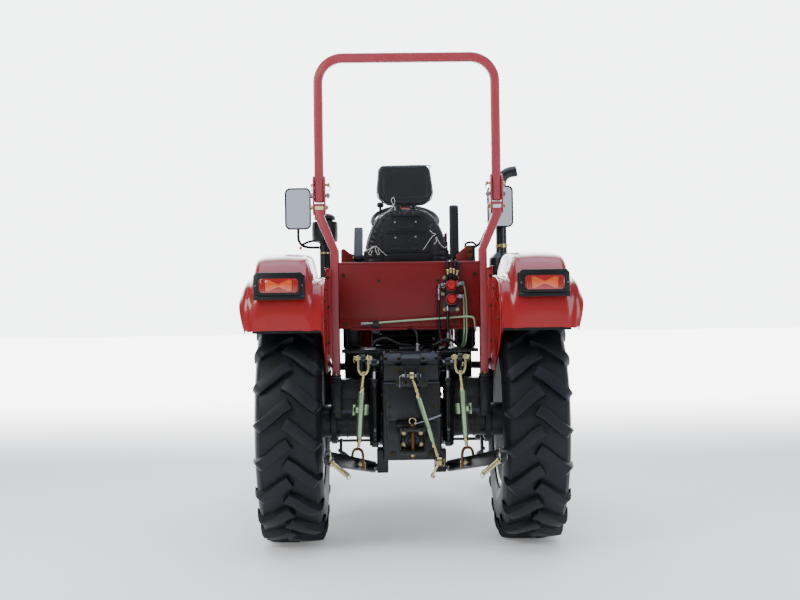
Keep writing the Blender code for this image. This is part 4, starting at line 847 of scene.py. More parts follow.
# ---- three-point hitch -------------------------------------------------------------------
SHAFT = (-0.12, 0.955)
ARM_END = (-0.4, 1.0)
LINK_A = (-0.05, 0.4)
LINK_B = (-0.85, 0.535)
FOOT = (-0.354, 0.4513)
FOOT_X = 0.2856
LIFT_X, CYL_X = 0.25, 0.195
CYL_A, CYL_B = Vector((0, -0.2, 0.545)), Vector((0, -0.203, 0.97))

arm_parts, arm_pins, arm_zinc = [], [], []
arm_parts.append(rod("X", SHAFT, 0.025, -0.186, 0.186, 32, 0.002))
for s in (-1, 1):
    spread_x = (s * (LIFT_X - 0.014), s * (LIFT_X + 0.014))[::s]
    web = prism("X", capsule(SHAFT, ARM_END, 0.042, 0.022, 14), *spread_x, 0.005, 3)
    boss = rod("X", SHAFT, 0.036, *span(s, 0.16, 0.27), 32, 0.004)
    hub = rod("X", SHAFT, 0.022, *span(s, 0.268, 0.276), 28, 0.002)
    rib = prism("X", [(-0.16, 0.968), (-0.35, 0.998), (-0.35, 1.006), (-0.16, 0.99)],
        *span(s, (LIFT_X - 0.021), (LIFT_X + 0.021)), 0.003)
    arm_parts += [web, boss, hub, rib]
    arm_pins += [rod("X", tuple(CYL_B.yz), 0.008, *span(s, 0.17, 0.252), 20, 0.001)]
    arm_zinc += [rod("X", ARM_END, 0.01, *span(s, (LIFT_X - 0.038), (LIFT_X + 0.038)), 22, 0.001)]
    for e in (-1, 1):
        arm_zinc.append(nut((s * LIFT_X + e * 0.0335, *ARM_END), (e, 0, 0), 0.014, 0.009, True, 0.004))
    arm_zinc.append(nut((s * 0.276, *SHAFT), (s, 0, 0), 0.015, 0.008))
    arm_zinc.append(tube(curve_points([(s * 0.29, ARM_END[0], 1.002),
        (s * 0.298, ARM_END[0] - 0.004, 1.012), (s * 0.3, ARM_END[0] - 0.004, 0.99),
        (s * 0.292, ARM_END[0], 0.978)], 5), 0.0018, 6))
piece("lift_arm_pair", "rockshaft", [(BLACK, arm_parts), (STEEL, arm_pins), (ZINC, arm_zinc)],
    ["lift_arms"])

for s, L, word in BOTH:
    # lift rod: strap clevis, threaded tube with its locking wings, fork
    by, bz = ARM_END
    up = Vector((LIFT_X, by, bz))
    low = Vector((FOOT_X, *FOOT))
    line = (low - up).normalized()
    strap = []
    path = [(LIFT_X - 0.026, bz + 0.018), (LIFT_X - 0.026, bz - 0.055), (LIFT_X - 0.014, bz - 0.083),
        (LIFT_X + 0.014, bz - 0.083), (LIFT_X + 0.026, bz - 0.055), (LIFT_X + 0.026, bz + 0.018)]
    outer = rounded_section([Vector((x, 0, z)) for x, z in path], 0.02, 5)
    ring_out = []
    for i, p in enumerate(outer):
        a, b = outer[max(i - 1, 0)], outer[min(i + 1, len(outer) - 1)]
        t = (b - a).normalized()
        ring_out.append((p, Vector((-t.z, 0, t.x))))
    half = 0.0055
    loop = [(p.x + n.x * half, p.z + n.z * half)
        for p, n in ring_out] + [(p.x - n.x * half, p.z - n.z * half) for p, n in reversed(ring_out)]
    strap.append(prism("Y", loop, by - 0.018, by + 0.018, 0.003, 2))
    strap.append(rod("X", ARM_END, 0.019, LIFT_X - 0.0325, LIFT_X - 0.0195, 26, 0.002))
    strap.append(rod("X", ARM_END, 0.019, LIFT_X + 0.0195, LIFT_X + 0.0325, 26, 0.002))
    strap.append(nut(up + Vector((0, 0, -0.08)), (0, 0, 1), 0.015, 0.012))
    strap.append(between(up + Vector((0, 0, -0.082)), up + line * 0.165, 0.0095, 20))
    strap += [between(up + line * (0.108 + 0.006 * i), up + line * (0.111 + 0.006 * i), 0.0108, 18)
        for i in range(7)]
    strap.append(between(up + line * 0.15, up + line * 0.17, 0.0165, 6, 0.001))
    body = tube([up + line * 0.16, up + line * 0.172, up + line * 0.18, up + line * 0.4, up + line * 0.412,
        up + line * 0.425], [0.01, 0.015, 0.0175, 0.0175, 0.015, 0.01], 24)
    wing_at = up + line * 0.268
    wings = []
    for e in (-1, 1):
        wing = box((-0.0135, 0.0135), (-0.004 - SY, 0.004 - SY), (-0.028, 0.028), 0.003)
        wings.append(moved(wing, aim(wing_at + Vector((e * 0.031, 0, 0)), -line)))
    wings.append(moved(box((-0.032, 0.032), (-0.003 - SY, 0.003 - SY), (-0.014, 0.014), 0.001),
        aim(wing_at, -line)))
    lower = [between(up + line * 0.405, up + line * 0.462, 0.0085, 18),
        between(up + line * 0.418, up + line * 0.438, 0.0145, 6, 0.001)]
    fork = []
    fz = FOOT[1]
    path = [(FOOT_X - 0.0285, fz - 0.026), (FOOT_X - 0.0285, fz + 0.05), (FOOT_X - 0.018, fz + 0.078),
        (FOOT_X + 0.018, fz + 0.078), (FOOT_X + 0.0285, fz + 0.05), (FOOT_X + 0.0285, fz - 0.026)]
    outer = rounded_section([Vector((x, 0, z)) for x, z in path], 0.022, 5)
    ring_out = []
    for i, p in enumerate(outer):
        a, b = outer[max(i - 1, 0)], outer[min(i + 1, len(outer) - 1)]
        t = (b - a).normalized()
        ring_out.append((p, Vector((-t.z, 0, t.x))))
    loop = [(p.x + n.x * 0.0065, p.z + n.z * 0.0065)
        for p, n in ring_out] + [(p.x - n.x * 0.0065, p.z - n.z * 0.0065) for p, n in reversed(ring_out)]
    fork.append(prism("Y", loop, FOOT[0] - 0.019, FOOT[0] + 0.019, 0.004, 2))
    grease = nut((FOOT_X, FOOT[0] - 0.012, fz + 0.082), (0, -0.5, 1), 0.005, 0.006, False, 0.004)
    piece(f"lift_rod_set_{L}", f"{word}_lift_rod", [(ZINC, strap + lower + [grease]),
        (GREENZINC, [body] + wings), (BRONZE, fork)], [f"lift_rod_{L}"], 32, s)

    # lower link with ball ends, its cross pin, linch pin, check chain
    splay = 0.265
    def lean_bar(bm):
        for v in bm.verts:
            v.co.x += -splay * (v.co.y - SY - LINK_A[0])
        return bm
    x0 = 0.205
    outline = capsule(LINK_A, LINK_B, 0.03, 0.035, 14)
    bar = lean_bar(prism("X", outline, x0 - 0.009, x0 + 0.009, 0.003, 2))
    ends = [lean_bar(rod("X", LINK_B, 0.036, x0 - 0.0125, x0 + 0.0125, 32, 0.003))]
    ball = lean_bar(lathe([(x0 - 0.021, 0.0145), (x0 - 0.021, 0.018), (x0 - 0.012, 0.0245), (x0, 0.0265),
        (x0 + 0.012, 0.0245), (x0 + 0.021, 0.018), (x0 + 0.021, 0.0145)], (0, *LINK_B), 32, True))
    ball_f = lean_bar(lathe([(x0 - 0.017, 0.015), (x0 - 0.017, 0.019), (x0, 0.0255), (x0 + 0.017, 0.019),
        (x0 + 0.017, 0.015)], (0, *LINK_A), 28, True))
    pin = [rod("X", FOOT, 0.01, FOOT_X - 0.04, FOOT_X + 0.04, 22, 0.001),
        nut((FOOT_X + 0.0395, *FOOT), (1, 0, 0), 0.0135, 0.007),
        tube(curve_points([(FOOT_X - 0.036, FOOT[0] + 0.01, fz - 0.012),
        (FOOT_X - 0.038, FOOT[0] - 0.018, fz + 0.002), (FOOT_X - 0.04, FOOT[0] - 0.016, fz - 0.02),
        (FOOT_X - 0.037, FOOT[0] + 0.006, fz - 0.026)], 5), 0.002, 6)]
    # spare pin that hangs from the ball eye, drooping inward
    eye = Vector((0.417, *LINK_B))
    root = eye + Vector((-0.02, -0.012, -0.022))
    tip = eye + Vector((-0.098, -0.028, -0.083))
    way = (tip - root).normalized()
    hang = [between(root, tip, 0.0125, 24, 0.003), between(root - way * 0.004, root + way * 0.006, 0.017,
        24, 0.002), between(tip - way * 0.02, tip - way * 0.016, 0.0132, 24),
        between(tip - way * 0.01, tip - way * 0.006, 0.0135, 24)]
    loop_pin = tube([tuple(tip + Vector((0.01 * cos(a * tau / 12), -0.014, 0.014 * sin(a * tau / 12))))
        for a in range(12)], 0.0018, 6)
    clip = tube(curve_points([tuple(root), tuple(root + Vector((0.012, -0.012, 0.01))),
        tuple(eye + Vector((-0.012, -0.012, 0.036))), tuple(eye + Vector((-0.01, 0.02, 0.04)))], 5), 0.0022,
        8)
    # check chain from the link to the axle bracket: eye bolt, links, turnbuckle
    a = Vector((FOOT_X + 0.03, FOOT[0] - 0.055, FOOT[1] + 0.03))
    b = Vector((0.392, -0.12, 0.5))
    chain = []
    way = (b - a).normalized()
    side_v = way.cross(Vector((0, 0, 1))).normalized()
    for i in range(3):
        c = a + way * (0.018 + 0.03 * i)
        v = side_v if i % 2 else side_v.cross(way)
        pts = [tuple(c + way * 0.0185 * cos(t * tau / 16) + v * 0.0095 * sin(t * tau / 16))
            for t in range(17)]
        chain.append(tube(pts, 0.0036, 8))
    knee = a + way * 0.115
    chain += [between(knee - way * 0.012, knee + way * 0.115, 0.0075, 16, 0.001),
        between(knee + way * 0.012, knee + way * 0.088, 0.0125, 20, 0.002),
        nut(knee + way * 0.09, way, 0.0125, 0.009, False)]
    lug = box((FOOT_X + 0.012, FOOT_X + 0.04), (FOOT[0] - 0.07, FOOT[0] - 0.045),
        (FOOT[1] + 0.01, FOOT[1] + 0.034), 0.003)
    # outline of a plain flat plate on the link that guides the chain; it is not built into the piece
    ear = [(-0.33, 0.452), (-0.362, 0.5), (-0.4, 0.506), (-0.425, 0.488), (-0.405, 0.462), (-0.44, 0.448),
        (-0.47, 0.452), (-0.455, 0.475)]
    piece(
        f"lower_link_set_{L}", f"{word}_lower_link",
        [(BLACK, [bar, lug] + ends), (STEEL, [ball, ball_f, loop_pin] + chain),
        (ZINC, hang + [clip] + pin)],
        [f"lower_link_{L}"], 32, s,
    )

    # assist cylinder
    along = (CYL_B - CYL_A).normalized()
    off = Vector((CYL_X, 0, 0))
    barrel = [tube([off + CYL_A + along * t for t in (0.01, 0.012, 0.333, 0.335)],
        [0.026, 0.028, 0.028, 0.026], 36)]
    barrel.append(between(off + CYL_A + along * 0.3, off + CYL_A + along * 0.338, 0.0305, 36, 0.002))
    barrel.append(between(off + CYL_A + along * 0.018, off + CYL_A + along * 0.036, 0.03, 36, 0.002))
    barrel.append(rod("X", tuple(CYL_A.yz), 0.023, CYL_X - 0.018, CYL_X + 0.018, 30, 0.002))
    gland = [between(off + CYL_A + along * 0.338, off + CYL_A + along * 0.343, 0.021, 30, 0.001)]
    port = off + CYL_A + along * 0.07
    union = [between(port + Vector((0, -0.026, 0)), port + Vector((0, -0.05, 0.004)), 0.009, 6, 0.001),
        between(port + Vector((0, -0.045, 0.003)), port + Vector((0, -0.06, 0.016)), 0.007, 14)]
    feed = tube(curve_points([tuple(port + Vector((0, -0.058, 0.014))),
        tuple(port + Vector((0.004, -0.07, 0.05))), tuple(port + Vector((0.004, -0.062, 0.14))),
        tuple(port + Vector((0.0, -0.05, 0.22)))], 8), 0.0065, 12)
    piece(f"assist_cylinder_{L}", f"{word}_barrel",
        [(BLACK, barrel), (STEEL, gland + union), (HOSE, [feed])], [f"assist_barrel_{L}"],
        32, s)
    stem = between(off + CYL_A + along * 0.16, off + CYL_B - along * 0.017, 0.0125, 32)
    head = lathe([(CYL_X - 0.015, 0.015), (CYL_X - 0.015, 0.0225), (CYL_X - 0.013, 0.024),
        (CYL_X + 0.013, 0.024), (CYL_X + 0.015, 0.0225), (CYL_X + 0.015, 0.015)], (0, *CYL_B.yz), 30, True)
    neck = between(off + CYL_B - along * 0.046, off + CYL_B - along * 0.02, 0.0165, 26, 0.003)
    piece(f"assist_ram_{L}", f"{word}_ram", [(CHROME, [stem]), (BLACK, [head, neck])], [f"assist_rod_{L}"],
        32, s)

# ---- top link ----------------------------------------------------------------------------
root = Vector((0, -0.375, 0.905))
hang = Vector((0.135, -0.395, 0.465))
way = (hang - root).normalized()
size = (hang - root).length
cross = way.cross(Vector((0, 1, 0))).normalized()
eye = [lathe([(-0.016, 0.0112), (-0.016, 0.0175), (-0.01, 0.0225), (0.01, 0.0225), (0.016, 0.0175),
    (0.016, 0.0112)], tuple(root), 28, True), between(root + way * 0.018, root + way * 0.12, 0.0088, 18)]
eye += [between(root + way * (0.045 + 0.0065 * i), root + way * (0.048 + 0.0065 * i), 0.0102, 16)
    for i in range(8)]
eye += [between(root + way * 0.102, root + way * 0.118, 0.016, 6, 0.001),
    between(root + way * 0.075, root + way * 0.083, 0.0135, 18, 0.001)]
body = tube([root + way * t for t in (0.108, 0.118, 0.126, size - 0.115, size - 0.105, size - 0.095)],
    [0.01, 0.0125, 0.0145, 0.0145, 0.0125, 0.01], 24)
lower = [between(root + way * (size - 0.105), hang - way * 0.018, 0.0088, 18),
    between(root + way * (size - 0.092), root + way * (size - 0.076), 0.0155, 6, 0.001)]
lower += [between(root + way * (size - 0.068 + 0.0065 * i), root + way * (size - 0.065 + 0.0065 * i),
    0.0102, 16) for i in range(5)]
lower.append(lathe([(-0.019, 0.0112), (-0.019, 0.018), (-0.011, 0.0245), (0.011, 0.0245), (0.019, 0.018),
    (0.019, 0.0112)], tuple(hang), 30, True))
bar_at = root + way * 0.242
bar_way = (Vector((0.155, 0, 0.052))).normalized()
handle = [between(bar_at - bar_way * 0.083, bar_at + bar_way * 0.083, 0.0048, 14, 0.001)]
hook_a = hang + Vector((-0.004, -0.012, -0.014))
hook = [tube(curve_points([tuple(hook_a), tuple(hook_a + Vector((-0.014, -0.004, -0.024))),
    tuple(hook_a + Vector((-0.03, -0.006, -0.048))), tuple(hook_a + Vector((-0.034, -0.004, -0.062))),
    tuple(hook_a + Vector((-0.02, 0.0, -0.066)))], 6), [0.0075] * 25, 12)]
handle_pin = tube(curve_points([tuple(hang + Vector((0.02, -0.01, 0.0))),
    tuple(hang + Vector((0.03, -0.02, 0.012))), tuple(hang + Vector((0.024, -0.02, -0.022))),
    tuple(hang + Vector((0.014, -0.01, -0.02)))], 5), 0.0022, 8)
piece("top_link_set", "upper_link", [(ZINC, eye + lower + hook + [handle_pin]), (GREENZINC, [body]),
    (STEEL, handle)], ["top_link"])

# ---- rear case, lift housing, drawbar jaw ------------------------------------------------
parts, zinc, steel, blue = [], [], [], []
parts.append(box((-0.155, 0.155), (-0.298, 0.42), (0.46, 0.87), 0.012, 3))
parts.append(box((-0.13, 0.13), (0.4, 1.06), (0.53, 0.8), 0.012, 3))
parts.append(prism("X", [(-0.26, 0.86), (-0.26, 0.99), (-0.23, 1.02), (0.16, 1.02), (0.18, 1.0),
    (0.18, 0.86)], -0.151, 0.151, 0.01, 3))
trumpet = [(0.0, 0.0), (0.0, 0.14), (0.145, 0.14), (0.16, 0.128), (0.205, 0.096), (0.3, 0.088),
    (0.385, 0.088), (0.398, 0.092), (0.402, 0.125), (0.43, 0.125), (0.43, 0.0)]
for s in (-1, 1):
    parts.append(flip(lathe(trumpet, (0, 0, ZA), 48), s))
    for x in (0.235, 0.29, 0.345):
        parts.append(flip(lathe([(x - 0.004, 0.08), (x - 0.003, 0.0945), (x + 0.003, 0.0945),
            (x + 0.004, 0.08)], (0, 0, ZA), 48, True), s))
    for i in range(10):
        a = tau * (i + 0.5) / 10
        zinc.append(nut((s * 0.401, 0.112 * cos(a), ZA + 0.112 * sin(a)), (-s, 0, 0), 0.0075, 0.006))
    parts.append(flip(box((0.205, 0.428), (-0.06, 0.1), (0.64, 0.878), 0.012, 3), s))
    parts.append(flip(box((0.215, 0.42), (-0.066, -0.058), (0.775, 0.865), 0.004), s))
    pad = box((0.374, 0.429), (-0.12, 0.025), (0.67, 0.885), 0.006)
    parts.append(flip(pad, s))
    parts.append(flip(box((0.38, 0.43), (-0.132, -0.118), (0.7, 0.86), 0.004), s))
    hang = [(0.06, 0.5), (-0.12, 0.5), (-0.1, 0.42), (-0.08, 0.37), (-0.02, 0.37), (0.03, 0.44)]
    parts.append(flip(prism("X", hang, 0.125, 0.187, 0.006), s))
    steel.append(flip(rod("X", LINK_A, 0.014, 0.18, 0.225, 28, 0.002), s))
    zinc.append(flip(nut((0.2245, *LINK_A), (1, 0, 0), 0.018, 0.01, True, 0.004), s))
    steel.append(flip(rod("X", tuple(CYL_A.yz), 0.012, 0.15, 0.219, 24, 0.001), s))
    zinc.append(flip(nut((0.2145, *CYL_A.yz), (1, 0, 0), 0.016, 0.008), s))
    # guard plate and chain bracket under the trumpet
    brk = prism("X", [(-0.15, 0.47), (-0.09, 0.47), (-0.06, 0.56), (-0.15, 0.56)], 0.372, 0.386, 0.003)
    parts.append(flip(brk, s))
    zinc.append(flip(nut((0.3865, -0.12, 0.5), (1, 0, 0), 0.01, 0.008), s))
# rear cover and top link bracket
parts.append(prism("Y", rounded(0.272, 0.19, 0.022, (0.0, 0.762)), -0.309, -0.294, 0.004))
parts.append(prism("Y", rounded(0.268, 0.105, 0.018, (0.0, 0.612)), -0.307, -0.294, 0.004))
parts.append(prism("Y", rounded(0.17, 0.11, 0.012, (0.0, 0.9)), -0.33, -0.238, 0.004))
for x in (-0.118, -0.06, 0.06, 0.118):
    zinc.append(nut((x, -0.309, 0.842), (0, -1, 0), 0.0075, 0.006))
for x in (-0.118, 0.118):
    for z in (0.792, 0.742, 0.69):
        zinc.append(nut((x, -0.309, z), (0, -1, 0), 0.0075, 0.006))
for x in (-0.07, 0.07):
    for z in (0.872, 0.932):
        zinc.append(nut((x, -0.33, z), (0, -1, 0), 0.0095, 0.008, True, 0.004))
for s in (-1, 1):
    ear = prism("X", [(-0.398, 0.882), (-0.402, 0.905), (-0.396, 0.924), (-0.38, 0.931), (-0.33, 0.95),
        (-0.31, 0.95), (-0.31, 0.86), (-0.33, 0.862), (-0.38, 0.878)], *span(s, 0.026, 0.037), 0.003)
    parts.append(ear)
steel.append(rod("X", (-0.375, 0.905), 0.01, -0.05, 0.048, 24, 0.001))
zinc.append(rod("X", (-0.375, 0.905), 0.015, 0.038, 0.044, 24, 0.001))
steel.append(tube(curve_points([(-0.046, -0.375, 0.905), (-0.06, -0.378, 0.903), (-0.063, -0.38, 0.88),
    (-0.063, -0.381, 0.848)], 6), 0.0036, 10))
zinc.append(tube([(-0.044 + 0.0, -0.375 + 0.013 * sin(t * tau / 14), 0.893 + 0.013 * cos(t * tau / 14))
    for t in range(14)], 0.0018, 6))
# lift housing top: valve cover, relief elbow, side caps
parts.append(box((-0.11, 0.11), (-0.225, 0.09), (1.016, 1.032), 0.005))
parts.append(box((-0.06, 0.07), (-0.15, 0.02), (1.03, 1.052), 0.006))
for s in (-1, 1):
    parts.append(prism("X", [(-0.272, 0.975), (-0.24, 1.022), (-0.17, 1.03), (-0.17, 0.985),
        (-0.262, 0.955)], *span(s, 0.05, 0.148), 0.006))
    for x in (0.062, 0.136):
        zinc.append(nut((s * x, -0.262, 0.998), (0, -0.8, 0.6), 0.0075, 0.006))
    for y in (-0.2, -0.1, 0.0, 0.12):
        zinc.append(nut((s * 0.136, y, 1.021), (0, 0, 1), 0.0075, 0.006))
    parts.append(flip(lathe([(0.15, 0.0), (0.15, 0.06), (0.158, 0.06), (0.16, 0.052), (0.16, 0.0)],
        (0, *SHAFT), 40), s))
    for i in range(6):
        a = tau * (i + 0.3) / 6
        zinc.append(nut((s * 0.158, SHAFT[0] + 0.048 * cos(a), SHAFT[1] + 0.048 * sin(a)), (s, 0, 0), 0.008,
            0.006))
steel += [nut((0.036, -0.205, 1.03), (0, 0, 1), 0.014, 0.012),
    between((0.036, -0.205, 1.04), (0.036, -0.205, 1.072), 0.0085, 18, 0.001),
    nut((0.036, -0.205, 1.058), (0, 0, 1), 0.0125, 0.01, False)]
blue.append(tube(curve_points([(0.036, -0.205, 1.07), (0.036, -0.2, 1.11), (0.02, -0.17, 1.14),
    (-0.02, -0.12, 1.145), (-0.06, -0.05, 1.13)], 8), 0.0075, 14))
blue.append(tube(curve_points([(-0.205, -0.28, 1.06), (-0.19, -0.27, 1.085), (-0.13, -0.25, 1.1),
    (-0.06, -0.22, 1.07), (0.0, -0.19, 1.06)], 8), 0.007, 14))
blue.append(tube(curve_points([(0.1, -0.2, 1.03), (0.14, -0.24, 1.07), (0.2, -0.24, 1.09),
    (0.25, -0.2, 1.06), (0.27, -0.1, 1.03)], 8), 0.007, 14))
# oil plugs, sensor, ribs on the flanks, seams
parts += [box((-0.1575, 0.1575), (y, y + 0.014), (0.458, 0.872), 0.003) for y in (-0.055, 0.255, 0.408)]
for s in (-1, 1):
    for y in (-0.25, -0.18, 0.33):
        for z in (0.5, 0.6, 0.7, 0.8):
            zinc.append(nut((s * 0.155, y, z), (s, 0, 0), 0.009, 0.007))
    parts += [flip(box((0.15, 0.158), (0.3, 0.4), (0.52 + 0.075 * i, 0.53 + 0.075 * i), 0.003), s)
        for i in range(4)]
zinc += [nut((0.0, 0.1, 0.459), (0, 0, -1), 0.018, 0.01), nut((0.0, 0.8, 0.529), (0, 0, -1), 0.014, 0.01),
    nut((0.1, -0.3, 0.495), (0, -1, 0), 0.012, 0.008), nut((-0.1, -0.3, 0.495), (0, -1, 0), 0.012, 0.008)]
parts += [box((-0.14, 0.14), (y, y + 0.022), (0.52, 0.81), 0.004) for y in (0.43, 0.72, 1.032)]
for y in (0.443, 0.733):
    for i in range(7):
        zinc.append(nut((-0.12 + 0.04 * i, y - 0.011, 0.803), (0, -1, 0), 0.0075, 0.006, False))
piece("rear_transmission", "chassis", [(CASE, parts), (STUD, zinc), (STEEL, steel), (HOSE, blue)],
    ["transmission_case"])

jaw = [box((-0.066, 0.066), (-0.432, -0.3), (0.622, 0.642), 0.003),
    box((-0.066, 0.066), (-0.442, -0.3), (0.505, 0.525), 0.003)]
jaw += [box((-0.066, 0.066), (-0.316, -0.3003), z, 0.001) for z in ((0.52, 0.545), (0.591, 0.626))]
jaw += [box(x, (-0.316, -0.3003), (0.54, 0.596), 0.001) for x in ((-0.066, -0.0235), (0.0235, 0.066))]
lips = [prism("Z", [(-0.066, -0.4), (-0.045, -0.446), (0.045, -0.446), (0.066, -0.4)], z, z + 0.02, 0.004)
    for z in (0.504, 0.622)]
cheeks = [prism("X", [(-0.314, 0.515), (-0.314, 0.63), (-0.36, 0.632), (-0.34, 0.575), (-0.365, 0.515)],
    *span(s, 0.057, 0.066), 0.003) for s in (-1, 1)]
guard = [prism("X", [(-0.3, 0.64), (-0.3, 0.668), (-0.35, 0.664), (-0.385, 0.65), (-0.385, 0.642)], -0.083,
    0.083, 0.003)]
guard += [prism("X", [(-0.3, 0.64), (-0.3, 0.668), (-0.385, 0.65), (-0.385, 0.56), (-0.36, 0.56)],
    *span(s, 0.08, 0.085), 0.001) for s in (-1, 1)]
collar = [lathe([(-0.304, 0.0235), (-0.304, 0.044), (-0.318, 0.044), (-0.32, 0.04), (-0.32, 0.0235)],
    (0, 0, 0.568), 36, True, "Y")]
pin = [rod("Z", (0.0, -0.403), 0.011, 0.476, 0.66, 26, 0.002),
    rod("Z", (0.0, -0.403), 0.017, 0.646, 0.653, 26, 0.001)]
ring_pull = tube([(0.017 * cos(t * tau / 18), -0.403, 0.673 + 0.017 * sin(t * tau / 18))
    for t in range(18)] + [(0.017, -0.403, 0.673)], 0.0028, 8)
low_nut = [nut((0.0, -0.403, 0.503), (0, 0, -1), 0.015, 0.01)]
jaw_bolts = [nut((s * 0.045, -0.3165, z), (0, -1, 0), 0.0095, 0.008) for s in (-1, 1)
    for z in (0.545, 0.605)]
piece("drawbar_hitch", "chassis", [(BLACK, jaw + lips + cheeks + guard + collar), (BRONZE, pin),
    (ZINC, low_nut + jaw_bolts + [ring_pull])], ["drawbar_jaw"])

c = (0, 0, 0.568)
spline = []
for i in range(6):
    a = tau * i / 6
    spline.append(prism("Y", [(0.017 * cos(a - 0.2), 0.568 + 0.017 * sin(a - 0.2)),
        (0.0195 * cos(a - 0.18), 0.568 + 0.0195 * sin(a - 0.18)),
        (0.0195 * cos(a + 0.18), 0.568 + 0.0195 * sin(a + 0.18)),
        (0.017 * cos(a + 0.2), 0.568 + 0.017 * sin(a + 0.2))], -0.376, -0.322, 0.0006, 1))
stub = lathe([(-0.3095, 0.0), (-0.3095, 0.0175), (-0.32, 0.0175), (-0.322, 0.016), (-0.352, 0.016),
    (-0.353, 0.014), (-0.359, 0.014), (-0.36, 0.016), (-0.374, 0.016), (-0.378, 0.0125), (-0.378, 0.0)], c,
    36, axis="Y")
piece("pto_stub", "power_takeoff", [(STEEL, [stub] + spline)], ["pto_shaft"])

# ---- seat: cushions, shell, draw-strings -------------------------------------------------
SX = -0.01          # the seat's middle, a little left of the machine's
BACK_SLOPE = 0.12   # how far the backrest leans back for each metre of height
BACK_FOOT = 1.34


def lean(bm, slope=-BACK_SLOPE, zero=BACK_FOOT):
    """The shape sheared along Y with height."""
    for v in bm.verts:
        v.co.y += slope * (v.co.z - zero)
    return bm


def upholstery(name, bm, paint, voxel, press, seams, held, wrap=None):
    """A stuffed piece: voxel skin, cloth under pressure held at its seams and fixed side, one subdivision."""
    mesh = bpy.data.meshes.new(name)
    bm.to_mesh(mesh)
    bm.free()
    made = bpy.data.objects.new(name, mesh)
    bpy.context.scene.collection.objects.link(made)
    skin = made.modifiers.new("skin", "REMESH")
    skin.mode = "VOXEL"
    skin.voxel_size = voxel
    graph = bpy.context.evaluated_depsgraph_get()
    fine = bpy.data.meshes.new_from_object(made.evaluated_get(graph))
    made.modifiers.clear()
    made.data = fine
    bpy.data.meshes.remove(mesh)
    fine.name = name
    pins = []
    for v in fine.vertices:
        pull, depth = seams(v.co, v.normal)
        v.co = v.co - v.normal * depth
        if pull or held(v.co, v.normal):
            pins.append(v.index)
    group = made.vertex_groups.new(name="pin")
    group.add(pins, 1.0, "REPLACE")
    before = [v.co.copy() for v in fine.vertices]
    cloth = made.modifiers.new("cloth", "CLOTH")
    c = cloth.settings
    c.quality = 5
    c.mass = 0.25
    c.tension_stiffness = c.compression_stiffness = 12
    c.shear_stiffness = 6
    c.bending_stiffness = 0.6
    c.use_pressure = True
    c.uniform_pressure_force = press
    c.vertex_group_mass = "pin"
    c.effector_weights.gravity = 0.0
    cloth.point_cache.frame_start = 1
    cloth.point_cache.frame_end = 20
    scene = bpy.context.scene
    for f in range(1, 21):
        scene.frame_set(f)
    graph = bpy.context.evaluated_depsgraph_get()
    blown = bpy.data.meshes.new_from_object(made.evaluated_get(graph))
    made.modifiers.clear()
    for v, b in zip(blown.vertices, before):
        step = v.co - b
        if step.length > 0.012:
            v.co = b + step * (0.012 / step.length)
    made.data = blown
    bpy.data.meshes.remove(fine)
    blown.name = name
    made.vertex_groups.clear()
    scene.frame_set(1)
    if wrap:
        for v in made.data.vertices:
            v.co = wrap(v.co, v.normal)
    smooth = made.modifiers.new("smooth", "SUBSURF")
    smooth.levels = smooth.render_levels = 1
    graph = bpy.context.evaluated_depsgraph_get()
    last = bpy.data.meshes.new_from_object(made.evaluated_get(graph))
    made.modifiers.clear()
    made.data = last
    for p in last.polygons:
        p.use_smooth = True
    last.materials.clear()
    last.materials.append(paint)
    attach(made, "chassis")
    return made


def groove(d, width, depth):
    """(held, depth) at a distance from a seam line."""
    return (abs(d) < width * 0.45, depth * exp(-(d / width) ** 2))


def deepest(*found):
    """Several seam lines taken together: held where any holds, at the deepest cut."""
    return any(f[0] for f in found), max(f[1] for f in found)


back_line = [
    (-0.205, 1.347), (0.205, 1.347), (0.224, 1.44), (0.226, 1.53), (0.214, 1.62), (0.188, 1.695),
    (0.152, 1.757), (0.112, 1.79), (0.06, 1.803),
    (-0.06, 1.803), (-0.118, 1.787), (-0.157, 1.757), (-0.192, 1.695), (-0.217, 1.62), (-0.226, 1.53),
    (-0.224, 1.44),
]
back = lean(prism("Y", [(SX + x, z) for x, z in back_line], 0.03, 0.118, 0.022, 3))


def back_seams(p, n):
    """Two upright welts, four tufting lines and the piping round the rim."""
    x, z, y = p.x - SX, p.z, p.y - SY + BACK_SLOPE * (p.z - BACK_FOOT)
    if n.y > 0.3:
        return deepest(groove(abs(x) - 0.125, 0.007, 0.01),
            *(groove(z - h, 0.006, 0.008) if abs(x) < 0.12 else (False, 0.0)
            for h in (1.45, 1.54, 1.63, 1.72)))
    return groove(y - 0.074, 0.005, 0.005)


def back_held(p, n):
    """The back of the cushion, screwed to its shell."""
    x, y = p.x - SX, p.y - SY + BACK_SLOPE * (p.z - BACK_FOOT)
    return n.y < -0.5 and abs(x) < 0.13


def back_wrap(p, n):
    """Gathers in the cover where it is drawn round the rim onto the back."""
    x, z, y = p.x - SX, p.z - 1.55, p.y - SY + BACK_SLOPE * (p.z - BACK_FOOT)
    if y > 0.055 or n.y > 0.1:
        return p
    a = atan2(z, x)
    out = hypot(x / 0.225, z / 0.25)
    edge = min(1.0, max(0.0, (out - 0.62) / 0.22))
    wave = sin(a * 46 + 3.2 * noise.noise(Vector((a * 4, 0.3, 1.0)))) * (0.55
        + 0.45 * noise.noise(Vector((a * 9, 2.0, 0.0))))
    fade = max(0.0, 1.0 - max(0.0, out - 0.93) / 0.1)
    return p + Vector((0, -1, 0)) * (0.0055 * edge * fade * wave + 0.004 * edge * fade)


upholstery("backrest_cushion", back, VINYL, 0.0075, 4.0, back_seams, back_held, back_wrap)

